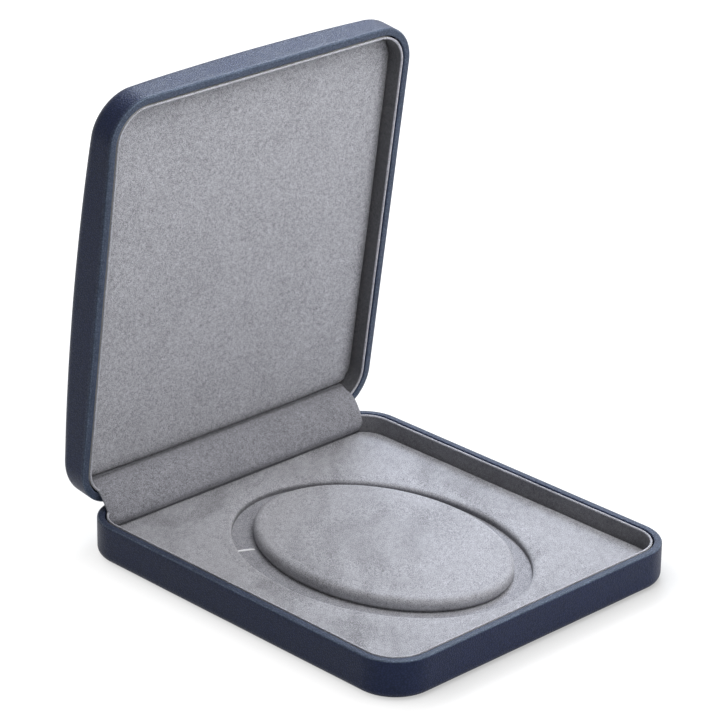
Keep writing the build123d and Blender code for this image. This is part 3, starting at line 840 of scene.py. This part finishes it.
def wrapped_form(line, face, foot, bevel, roll, up):
    """The closed form of a pad: its board's edge, a rolled corner, and a crowned face."""
    rings = [[Vector((point.x, point.y, foot)) for point in line(bevel)]]
    if bevel > 0:
        rings.append([Vector((point.x, point.y, foot + up * bevel)) for point in line(0)])
    for step in range(11):
        turn = math.radians(90 * step / 10)
        corner = line(roll * (1 - math.cos(turn)))
        drop = up * roll * (1 - math.sin(turn))
        rings.append([Vector((p.x, p.y, face(p.x, p.y) - drop)) for p in corner])
    edge = rings[-1]
    middle = sum(edge, Vector()) / len(edge)
    for step in range(1, 12):
        inward = [middle.lerp(point, 1 - step / 12) for point in edge]
        rings.append([Vector((point.x, point.y, face(point.x, point.y))) for point in inward])
    mesh = stacked(rings)
    mesh.vertices[len(mesh.vertices) - 1].co.z = face(middle.x, middle.y)
    return mesh


def stacked(rings):
    """A closed form through rings of points, with a centre point below and above."""
    mesh = swept(rings, False)
    shape = bmesh.new()
    shape.from_mesh(mesh)
    bmesh.ops.poke(shape, faces=list(shape.faces)[-2:], center_mode="MEAN")
    shape.to_mesh(mesh)
    shape.free()
    return mesh


def inflate(piece, glued_here):
    """Lets air press out a pad's cloth for a moment, while its glued part stays."""
    glued = piece.vertex_groups.new(name="glued")
    for vertex in piece.data.vertices:
        glued.add([vertex.index], 1.0 if glued_here(vertex.co) else 0.0, "REPLACE")
    cloth = piece.modifiers.new("cloth", "CLOTH")
    cloth.settings.vertex_group_mass = "glued"
    cloth.settings.use_pressure = True
    cloth.settings.uniform_pressure_force = 4
    cloth.settings.effector_weights.gravity = 0
    cloth.settings.quality = 4
    cloth.collision_settings.use_collision = False
    cloth.point_cache.frame_start = 1
    cloth.point_cache.frame_end = INFLATE_FRAMES
    for step in range(1, INFLATE_FRAMES + 1):
        bpy.context.scene.frame_set(step)
    settle(piece)
    bpy.context.scene.frame_set(1)


def wrapped_pad(name, form, voxel, glued_here, material):
    """A pad whose cloth starts slack, swells over its foam and is nowhere slimmer than its form."""
    piece = finished(name, form.copy(), material, 180)
    points = [vertex.co.copy() for vertex in piece.data.vertices]
    inside = BVHTree.FromPolygons(points, [face.vertices[:] for face in piece.data.polygons])
    remesh = piece.modifiers.new("even", "REMESH")
    remesh.mode = "VOXEL"
    remesh.voxel_size = voxel
    settle(piece)
    slack = [vertex.co - vertex.normal * PAD_SLACK for vertex in piece.data.vertices]
    for vertex, point in zip(piece.data.vertices, slack):
        if not glued_here(vertex.co):
            vertex.co = point
    before = [vertex.co.copy() for vertex in piece.data.vertices]
    inflate(piece, glued_here)
    for vertex, start in zip(piece.data.vertices, before):
        move = vertex.co - start
        if move.length > 0:
            vertex.co = start + move * (PAD_SWELL * math.tanh(move.length / PAD_SWELL) / move.length)
    smooth = piece.modifiers.new("evened", "SMOOTH")
    smooth.factor = 0.5
    smooth.iterations = 5
    finer = piece.modifiers.new("finer", "SUBSURF")
    finer.levels = 1
    finer.render_levels = 1
    settle(piece)
    for vertex in piece.data.vertices:
        nearest, out, _, _ = inside.find_nearest(vertex.co)
        if (vertex.co - nearest).dot(out) < PAD_EASE and not glued_here(vertex.co):
            vertex.co = nearest + out * PAD_EASE
    piece.data.materials.clear()
    piece.data.materials.append(material)
    piece.data.shade_smooth()
    return piece


def on_pad_board(spot):
    """True where the pad's suede is glued to its board."""
    return spot.z < CHANNEL_FLOOR + 0.6 * MM


pad_curve = ((HOLE_Y - CHANNEL_WIDTH) ** 2 + PAD_CROWN ** 2) / (2 * PAD_CROWN)
pad_shape = wrapped_form(oval_line, pad_top, CHANNEL_FLOOR, PAD_FOOT, PAD_ROLL, 1)
oval_pad = wrapped_pad("oval_pad", pad_shape, PAD_VOXEL, on_pad_board, pad_suede)
# Painted shade down the lower side of the pad, darkest at its foot.
mark(oval_pad, "painted_shade", lambda spot: (PAD_TOP - 5.4 * MM - spot.z) / (1.4 * MM))
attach(oval_pad, "base")
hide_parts("oval_pad_cover")


# THE LID'S LEATHERETTE
# The lid's shell and its thin foam are covered in the same leatherette. The top is a low
# dome that rolls over into upright sides, and the skin turns in over the rim as below.
RIM_GAP = 0.4 * MM
LID_RIM = RIM_TOP + RIM_GAP
CROWN_TOP = 44.2 * MM
CROWN_RISE = 5.2 * MM
LID_EDGE = 5.0 * MM
LID_SLOT_BELOW = 2 * MM
OPEN_DEGREES = 82
OPEN = math.radians(OPEN_DEGREES)
dome_radius = ((BOX_DEPTH / 2) ** 2 + CROWN_RISE ** 2) / (2 * CROWN_RISE)
swing = Matrix.Translation(pin) @ Matrix.Rotation(-OPEN, 4, "X") @ Matrix.Translation(-pin)


def dome_height(x, y, under=0.0):
    """The lid's domed top over a point of the closed box."""
    return CROWN_TOP - dome_radius + math.sqrt((dome_radius - under) ** 2 - x ** 2 - y ** 2)


def domed(station, inset, edge, under):
    """Points from a lid's upright side over its rounded edge towards the middle of the dome."""
    top = at(station, inset + edge, 0)
    points = []
    for step in range(10):
        turn = math.radians(90 * step / 9)
        place = at(station, inset + edge * (1 - math.cos(turn)), 0)
        place.z = dome_height(place.x, place.y, under) - edge * (1 - math.sin(turn))
        points.append(place)
    for step in range(1, 24):
        place = top * (1 - step / 24)
        place.z = dome_height(place.x, place.y, under)
        points.append(place)
    return points


def lid_skin_row(station):
    """The lid's skin at a station, from the dome's middle over the rim and back up inside."""
    outside = domed(station, 0, LID_EDGE, 0)
    inside = domed(station, SKIN, LID_EDGE - SKIN, SKIN)
    wall = outside[0].z - LID_RIM
    spots = [(0, LID_RIM + RIM_ROLL + (wall - RIM_ROLL) * step / 7) for step in range(6, 0, -1)]
    spots += [*rim_profile(LID_RIM, -1), (SKIN, LID_RIM + SKIN)]
    return outside[::-1] + [at(station, *spot) for spot in spots] + inside


lid_skin_mesh = stacked(list(zip(*[lid_skin_row(station) for station in ring])))
for vertex, apex in zip(list(lid_skin_mesh.vertices)[-2:], (CROWN_TOP, CROWN_TOP - SKIN)):
    vertex.co = (0, 0, apex)
rippled(lid_skin_mesh, SKIN_WAVE, SKIN_WAVE_DEPTH)
lid_skin = finished("lid_leatherette", lid_skin_mesh, leatherette)
cut_hinge_slot(lid_skin, LID_SLOT_BELOW, BARREL_ROOM)
# The lid's rim is marked paler and smoother as well: wear and a painted highlight.
mark(lid_skin, "wear_and_painted_light", rim_wear_and_highlight(LID_RIM, 0.6))
lid_skin.data.transform(swing)
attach(lid_skin, "lid")
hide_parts("lid_wrap")


# THE LID'S COLLAR LINING
# The same suede-covered board is glued behind the lid's rim on three sides. It is deeper
# than the base's, and the suede's turned edge lies at the rim.
LID_BOARD_TOP = 31.5 * MM
lid_edge_height = LID_RIM + RIM_TOP - COLLAR_TOP
lid_lining = collar_lining("lid_collar_suede", lid_edge_height, LID_BOARD_TOP, -1)
# Painted shade on the lining's face below its turned edge.
mark(lid_lining, "painted_shade", lambda spot: (spot.z - LID_RIM - 0.5 * MM) / (0.4 * MM))
lid_lining.data.transform(swing)
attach(lid_lining, "lid")
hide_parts("lid_collar_lining")


# THE LID'S PAD
# A board with a sheet of foam, wrapped in the same suede, is pressed into the lid. Its
# face is slightly crowned and its edges are rolled, so a dark line runs all round it;
# painted shade darkens the suede near its edges as well.
LID_PAD_FACE = 27.7 * MM
LID_PAD_BACK = 96.0 * MM
LID_PAD_CROWN = 1.2 * MM
LID_PAD_ROLL = 1.6 * MM
LID_PAD_VOXEL = 2.2 * MM
EDGE_SHADE_REACH = 4 * MM
lid_suede = suede_material("lid_suede", 2.8, 0.05)


def lid_pad_line(inset):
    """Points round the lid's pad, cut short at the back for the hinge cover."""
    points = [at(station, INSERT_INSET + inset, 0) for station in stations(14, 4 * MM)]
    for point in points:
        point.y = min(point.y, LID_PAD_BACK - inset)
    return points


def lid_pad_face(x, y):
    """The crowned face of the lid's pad, which looks down in the closed box."""
    rise_here = lid_pad_curve - math.sqrt(lid_pad_curve ** 2 - x ** 2 - y ** 2)
    return LID_PAD_FACE - LID_PAD_CROWN + rise_here


def on_lid_board(spot):
    """True where the lid pad's suede is glued to its board."""
    return spot.z > LID_BOARD_TOP - 0.6 * MM


half_depth = BOX_DEPTH / 2 - INSERT_INSET
lid_pad_curve = (half_depth ** 2 + LID_PAD_CROWN ** 2) / (2 * LID_PAD_CROWN)
lid_pad_shape = wrapped_form(lid_pad_line, lid_pad_face, LID_BOARD_TOP, 0, LID_PAD_ROLL, -1)
lid_pad = wrapped_pad("lid_pad", lid_pad_shape, LID_PAD_VOXEL, on_lid_board, lid_suede)


def lid_pad_edge_shade(spot):
    """How much painted shade darkens the lid pad's suede near its edges."""
    inside = min(inset_of(spot.x, spot.y) - INSERT_INSET, LID_PAD_BACK - spot.y)
    return math.exp(-(max(inside, 0) / EDGE_SHADE_REACH) ** 2)


mark(lid_pad, "painted_shade", lid_pad_edge_shade)
lid_pad.data.transform(swing)
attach(lid_pad, "lid")
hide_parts("lid_pad_cover")


# THE HINGE
# A sprung steel hinge of rolled knuckles joins the two rear walls. The leaves lie against
# the walls inside, each held by four round-headed screws, and the pin runs right through.
LEAF_FRONT = 102.4 * MM
SCREW_DROP = 5.05 * MM
SCREW_SHARES = (-0.42, -0.14, 0.14, 0.42)
HINGE_LENGTH = 124 * MM
SCREW_RECESS = -0.27 * MM
SCREW_TIP = 3.4 * MM
SCREW_HEAD = ((0.7, -0.6), (1.25, -0.48), (1.6, -0.25), (1.7, 0.0))
SCREW_SHANK = ((0.7, 0.0), (0.7, 3.0), (0.35, 3.3))
SCREW_OUTLINE = [(radius * MM, depth * MM) for radius, depth in SCREW_HEAD + SCREW_SHANK]


def steel_material(name, tone, rough, brush):
    """Plated steel, brushed along its length and spotted with handling."""
    material, tree, shader, place = new_material(name)
    drawn = add_node(tree, "ShaderNodeMapping", {"Vector": place, "Scale": brush})
    lines = add_noise(tree, drawn, 1.0, 3.0)
    dull = [value * 0.7 for value in tone[:3]] + [1]
    colour = blend_tones(tree, tone, dull, add_noise(tree, place, 220.0, 5.0))
    brushed = blend_numbers(tree, rough, rough + 0.16, lines)
    set_surface(tree, shader, colour, brushed, lines, 0.25, 0.00003)
    shader.inputs["Metallic"].default_value = 1.0
    return material


hinge_steel = steel_material("hinge_steel", (0.56, 0.56, 0.57, 1), 0.26, (60.0, 3200.0, 3200.0))
spring_steel = steel_material("spring_steel", (0.40, 0.40, 0.42, 1), 0.30, (900.0, 900.0, 900.0))
dress(["hinge_base_leaf", "hinge_lid_leaf"], hinge_steel)
dress(["hinge_pin"], spring_steel)


def screw_mesh():
    """One round-headed screw with a cross recess, its head at the origin, its shank along +Y."""
    turns = [2 * math.pi * step / 16 for step in range(16)]
    round_by = [Vector((math.cos(turn), 0, math.sin(turn))) for turn in turns]
    rings = [[radius * out + Vector((0, depth, 0)) for out in round_by] for radius, depth in SCREW_OUTLINE]
    mesh = stacked(rings)
    shape = bmesh.new()
    shape.from_mesh(mesh)
    recess, tip = list(shape.verts)[-2:]
    recess.co.y, tip.co.y = SCREW_RECESS, SCREW_TIP
    wedges = [face for face in shape.faces if recess in face.verts]
    raised = bmesh.ops.poke(shape, faces=wedges[3::4], center_mode="MEAN")["verts"]
    for vertex in raised:
        vertex.co.y = SCREW_OUTLINE[0][1]
    bmesh.ops.recalc_face_normals(shape, faces=shape.faces)
    shape.to_mesh(mesh)
    shape.free()
    soften(mesh, 40)
    return mesh


def row_tree():
    """Geometry Nodes that set screws at even places along a line; its sizes are named inputs."""
    sockets = [
        ("Geometry", "NodeSocketGeometry", None),
        ("Start", "NodeSocketVector", None),
        ("Step", "NodeSocketVector", None),
        ("Count", "NodeSocketInt", None),
    ]
    results = [("Geometry", "NodeSocketGeometry")]
    tree, given, result = new_group("row_of_screws", sockets, results, "GeometryNodeTree")
    count, start, step = [given.outputs[label] for label in ("Count", "Start", "Step")]
    line = add_node(tree, "GeometryNodeMeshLine", {"Count": count, "Start Location": start, "Offset": step})
    screw = add_node(tree, "GeometryNodeObjectInfo", {"Object": pattern_screw}, "Geometry")
    placed = add_node(tree, "GeometryNodeInstanceOnPoints", {"Points": line, "Instance": screw})
    real = add_node(tree, "GeometryNodeRealizeInstances", {0: placed})
    plated = add_node(tree, "GeometryNodeSetMaterial", {"Geometry": real, "Material": hinge_steel})
    tree.links.new(plated, result.inputs["Geometry"])
    return tree


def screw_row(name, sizes):
    """A plain piece made by the row's tree from its named sizes."""
    piece = in_scene(name, bpy.data.meshes.new(name))
    row = piece.modifiers.new("row", "NODES")
    row.node_group = screw_tree
    for socket in screw_tree.interface.items_tree:
        if socket.name in sizes:
            row[socket.identifier] = sizes[socket.name]
    settle(piece)
    return piece


pattern_screw = in_scene("pattern_screw", screw_mesh())
screw_tree = row_tree()
screw_step = (SCREW_SHARES[1] - SCREW_SHARES[0]) * HINGE_LENGTH
screw_nodes = (("base", "hinge_base_screws", -SCREW_DROP), ("lid", "hinge_lid_screws", SCREW_DROP))
for body, node, away in screw_nodes:
    start = (SCREW_SHARES[0] * HINGE_LENGTH, LEAF_FRONT, pin.z + away)
    sizes = {"Start": start, "Step": (screw_step, 0.0, 0.0), "Count": len(SCREW_SHARES)}
    screws = screw_row(body + "_screws_row", sizes)
    if body == "lid":
        screws.data.transform(swing)
    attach(screws, body)
    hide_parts(node)
bpy.data.objects.remove(pattern_screw)


# THE HINGE'S SPRINGS
# Two small torsion springs sit on the pin in gaps between the knuckles. One leg lies on
# the base's leaf and one on the lid's, and the coil winds up as the lid shuts.
COIL_RADIUS = 1.35 * MM
WIRE_RADIUS = 0.3 * MM
COIL_PITCH = 1.1 * MM
COIL_TURNS = 3 + (180 - OPEN_DEGREES) / 360
COIL_STEPS = 28
SPRING_LEG = 4.4 * MM
SPRING_STARTS = (-0.26 * HINGE_LENGTH, 0.235 * HINGE_LENGTH)


def spring_mesh(start):
    """One spring as a bent wire: leg, coil, leg."""
    length = COIL_PITCH * COIL_TURNS
    points = []
    for step in range(9):
        back = SPRING_LEG * (1 - step / 9)
        points.append(Vector((start, pin.y - back, pin.z - COIL_RADIUS)))
    count = int(COIL_TURNS * COIL_STEPS)
    for step in range(count + 1):
        share = step / count
        turn = 2 * math.pi * COIL_TURNS * share
        x, y = start + length * share, pin.y + COIL_RADIUS * math.sin(turn)
        points.append(Vector((x, y, pin.z - COIL_RADIUS * math.cos(turn))))
    last = points[-1]
    away = Vector((0, -math.cos(OPEN), math.sin(OPEN)))
    for step in range(1, 10):
        points.append(last + away * SPRING_LEG * step / 9)
    rows = []
    for index, point in enumerate(points):
        ahead = points[min(index + 1, len(points) - 1)] - points[max(index - 1, 0)]
        side = ahead.cross(Vector((1, 0, 0))).normalized()
        up = side.cross(ahead).normalized()
        row = []
        for corner in range(10):
            turn = math.pi * corner / 5
            row.append(point + (side * math.cos(turn) + up * math.sin(turn)) * WIRE_RADIUS)
        rows.append(row)
    return swept(rows, False)


for label, start in zip(("left", "right"), SPRING_STARTS):
    spring = finished("hinge_spring_" + label, spring_mesh(start), spring_steel, 60)
    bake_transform(spring)
    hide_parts("hinge_springs")


# THE HINGE COVER
# A stiff suede strip hides the hinge. Its edges are tucked behind the insert and behind
# the lid's pad, and with the lid open it stands out between them in a soft S. Its ends are
# turned under against the collars.
COVER_HALF = 84 * MM
COVER_THICK = 0.8 * MM
COVER_GAP = 0.3 * MM
COVER_END = 3 * MM
COVER_END_TURN = 1.3 * MM
COVER_WAVE = 24 * MM
COVER_WAVE_DEPTH = 0.3 * MM
COVER_COLUMNS = 72
COVER_BULGE_SHARES = ((0.09, 0.19), (0.33, 0.26), (0.63, 0.254), (0.83, 0.173))
# The cover's suede is a darker copy of the same suede: painted shade under the lid pad.
cover_painted_shade_tones = {"dark": (0.10, 0.10, 0.11, 1), "pale": (0.40, 0.40, 0.44, 1)}
cover_suede = suede_material("cover_suede", 2.6, 0.06, **cover_painted_shade_tones)
low_crease = Vector((0, INSERT_BACK + COVER_GAP, INSERT_TOP))
high_crease = swing @ Vector((0, LID_PAD_BACK + COVER_GAP, LID_PAD_FACE))
chord = high_crease - low_crease
forward = Vector((0, -chord.z, chord.y))


def through(points, steps):
    """Points of a smooth curve that passes through the given ones."""
    ends = [2 * points[0] - points[1], *points, 2 * points[-1] - points[-2]]
    curve = []
    for a, b, c, d in zip(ends, ends[1:], ends[2:], ends[3:]):
        for step in range(steps):
            t = step / steps
            bend = (2 * a - 5 * b + 4 * c - d) * t ** 2
            twist = (3 * b - a - 3 * c + d) * t ** 3
            curve.append(0.5 * (2 * b + (c - a) * t + bend + twist))
    return curve + [points[-1]]


bulge = [low_crease + chord * along + forward * aside for along, aside in COVER_BULGE_SHARES]
cover_line = through([low_crease, *bulge, high_crease], 8)
foot = Vector((0, low_crease.y, CHANNEL_FLOOR))
tip = swing @ Vector((0, LID_PAD_BACK + COVER_GAP, LID_BOARD_TOP - COVER_GAP))
cover_front = [foot.lerp(low_crease, step / 3) for step in range(3)] + cover_line
cover_front += [high_crease.lerp(tip, step / 3) for step in range(1, 4)]


def cover_section(x):
    """The strip in side view at a place along it: front points, then back points."""
    near_end = min(1, max(0, (abs(x) - (COVER_HALF - COVER_END)) / COVER_END))
    last = len(cover_front) - 1
    front = []
    for index, point in enumerate(cover_front):
        wave = noise.noise(Vector((x, point.y, point.z)) / COVER_WAVE) * COVER_WAVE_DEPTH
        free = min(1, max(0, min(index - 2, last - 2 - index) / 6))
        ahead = cover_front[min(index + 1, last)] - cover_front[max(index - 1, 0)]
        out = Vector((0, -ahead.z, ahead.y)).normalized()
        turned = COVER_END_TURN * (1 - math.sqrt(1 - near_end ** 2)) * free
        front.append((point + out * (wave * free - turned), out))
    points = [Vector((x, point.y, point.z)) for point, out in front]
    return points + [Vector((x, point.y, point.z)) - out * COVER_THICK for point, out in reversed(front)]


columns = range(COVER_COLUMNS + 1)
cover_rows = [cover_section(COVER_HALF * (2 * step / COVER_COLUMNS - 1)) for step in columns]
hinge_cover = finished("hinge_cover_suede", swept(cover_rows, False), cover_suede, 60)


def crease_painted_shade(spot):
    """How much painted shade darkens the cover where it is tucked in at its two edges."""
    beside = Vector((0, spot.y, spot.z))
    near = min((beside - low_crease).length, (beside - high_crease).length)
    return math.exp(-(near / (1.0 * MM)) ** 2)


mark(hinge_cover, "painted_shade", crease_painted_shade)
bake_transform(hinge_cover)
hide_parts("hinge_cover")


# THE ROOM
# The box stands on a plain white floor under square soft lamps: weak ones close by, larger
# ones at the front and right, and one behind that picks out the lid's edge. The camera
# stands at the front left, well above the lid.
FLOOR_GREY = 0.8
SHADOW_DEPTH = 0.24
FLOOR_GLOW = 0.88
CONTACT_REACH = 20 * MM
CONTACT_DARK = 0.3
CONTACT_LEAN = {"X": -0.65, "Y": 0.5, "Z": 0.57}
FADE_START = 0.2
FADE_END = 0.6
FLOOR_REACH = 6.0
SKY_LIGHT = 0.03


def seen_directly(tree):
    """1 for the rays of the camera, of reflections and of glass, which see white all round."""
    path = add_node(tree, "ShaderNodeLightPath", out=None)
    seen = add_math(tree, "MAXIMUM", path["Is Camera Ray"], path["Is Glossy Ray"])
    return add_math(tree, "MAXIMUM", seen, path["Is Transmission Ray"])


def floor_material():
    """White floor that shows the object's shadow and lights it as white paper does; near the object its
    glow carries a painted contact shadow.
    """
    material = bpy.data.materials.new("white_floor")
    material.use_nodes = True
    tree = material.node_tree
    tree.nodes.clear()
    paper = add_node(tree, "ShaderNodeBsdfDiffuse", {"Color": (*[FLOOR_GREY] * 3, 1)})
    shadowed = add_node(tree, "ShaderNodeBsdfDiffuse", {"Color": (*[SHADOW_DEPTH] * 3, 1)})
    # Painted contact shadow: the glow dims where occlusion, leaned to the left, finds the object close by.
    lean = add_node(tree, "ShaderNodeCombineXYZ", CONTACT_LEAN)
    inputs = {"Distance": CONTACT_REACH, "Normal": lean}
    clear = add_node(tree, "ShaderNodeAmbientOcclusion", inputs, "AO")
    near = blend_numbers(tree, FLOOR_GLOW * CONTACT_DARK, FLOOR_GLOW, clear)
    place = add_node(tree, "ShaderNodeTexCoord", out="Object")
    away = add_node(tree, "ShaderNodeVectorMath", {0: place}, "Value", operation="LENGTH")
    inputs = {"Value": away, "From Min": FADE_START, "From Max": FADE_END, "To Max": 1 - FLOOR_GLOW}
    far = add_node(tree, "ShaderNodeMapRange", inputs)
    inputs = {"Color": (1, 1, 1, 1), "Strength": add_math(tree, "ADD", near, far)}
    glow = add_node(tree, "ShaderNodeEmission", inputs)
    lit = add_node(tree, "ShaderNodeAddShader", {0: shadowed, 1: glow})
    mixed = add_node(tree, "ShaderNodeMixShader", {0: seen_directly(tree), 1: paper, 2: lit})
    add_node(tree, "ShaderNodeOutputMaterial", {"Surface": mixed}, None)
    return material


floor_mesh = bpy.data.meshes.new("floor")
corners = [(x * FLOOR_REACH, y * FLOOR_REACH, 0) for x, y in ((-1, -1), (1, -1), (1, 1), (-1, 1))]
floor_mesh.from_pydata(corners, [], [(0, 1, 2, 3)])
floor_mesh.materials.append(floor_material())
floor = in_scene("floor", floor_mesh)


def soft_lamp(name, place, target, size, power, colour=(1, 1, 1)):
    """A square soft lamp turned towards a point."""
    lamp = bpy.data.lights.new(name, "AREA")
    lamp.size = size
    lamp.energy = power
    lamp.color = colour
    holder = in_scene(name, lamp)
    holder.location = place
    holder.rotation_euler = (Vector(target) - Vector(place)).to_track_quat("-Z", "Y").to_euler()


TRAY_MIDDLE = (0, 0, 0.05)
LID_MIDDLE = (0, 0.13, 0.2)
soft_lamp("overhead", (0.0, 0.0, 1.6), TRAY_MIDDLE, 0.4, 1.6)
soft_lamp("near_overhead", (0.05, 0.05, 0.75), TRAY_MIDDLE, 0.5, 0.4)
soft_lamp("near_front", (0.08, -0.18, 0.58), TRAY_MIDDLE, 0.4, 2.25)
soft_lamp("right", (1.1, -0.1, 0.95), TRAY_MIDDLE, 0.8, 2.0)
soft_lamp("front_right", (1.2, -1.2, 0.6), TRAY_MIDDLE, 1.0, 7.5)
soft_lamp("front_left", (-0.9, -1.3, 0.55), TRAY_MIDDLE, 0.8, 6.8)
soft_lamp("back_right", (0.71, 0.57, 1.0), LID_MIDDLE, 0.5, 14.0, (0.82, 0.89, 1.0))

world = bpy.data.worlds.new("white_room")
bpy.context.scene.world = world
world.use_nodes = True
sky = world.node_tree
sky.nodes.clear()
sky_dim = add_node(sky, "ShaderNodeBackground", {"Color": (1, 1, 1, 1), "Strength": SKY_LIGHT})
sky_white = add_node(sky, "ShaderNodeBackground", {"Color": (1, 1, 1, 1), "Strength": 1.0})
sky_mix = add_node(sky, "ShaderNodeMixShader", {0: seen_directly(sky), 1: sky_dim, 2: sky_white})
add_node(sky, "ShaderNodeOutputWorld", {"Surface": sky_mix}, None)

CAMERA_PLACE = (-1.034208, -1.037214, 0.739454)
CAMERA_YAW = math.radians(-44.53628)
CAMERA_PITCH = math.radians(-23.40504)
CAMERA_ROLL = math.radians(0.86001)
LENS_PIXELS = 3441.966
IMAGE_PIXELS = 720
level = Vector((math.cos(CAMERA_YAW), math.sin(CAMERA_YAW), 0))
forwards = Vector((-math.sin(CAMERA_YAW), math.cos(CAMERA_YAW), 0)) * math.cos(CAMERA_PITCH)
ahead = forwards + Vector((0, 0, math.sin(CAMERA_PITCH)))
upward = level.cross(ahead)
rightward = math.cos(CAMERA_ROLL) * level + math.sin(CAMERA_ROLL) * upward
upright = math.cos(CAMERA_ROLL) * upward - math.sin(CAMERA_ROLL) * level
camera = bpy.data.cameras.new("camera")
camera.sensor_width = 36
camera.lens = LENS_PIXELS / IMAGE_PIXELS * camera.sensor_width
camera.clip_end = 50
viewer = in_scene("camera", camera)
turned = Matrix((rightward, upright, -ahead)).transposed().to_4x4()
viewer.matrix_world = Matrix.Translation(CAMERA_PLACE) @ turned
bpy.context.scene.camera = viewer
bpy.context.scene.view_settings.view_transform = "Standard"
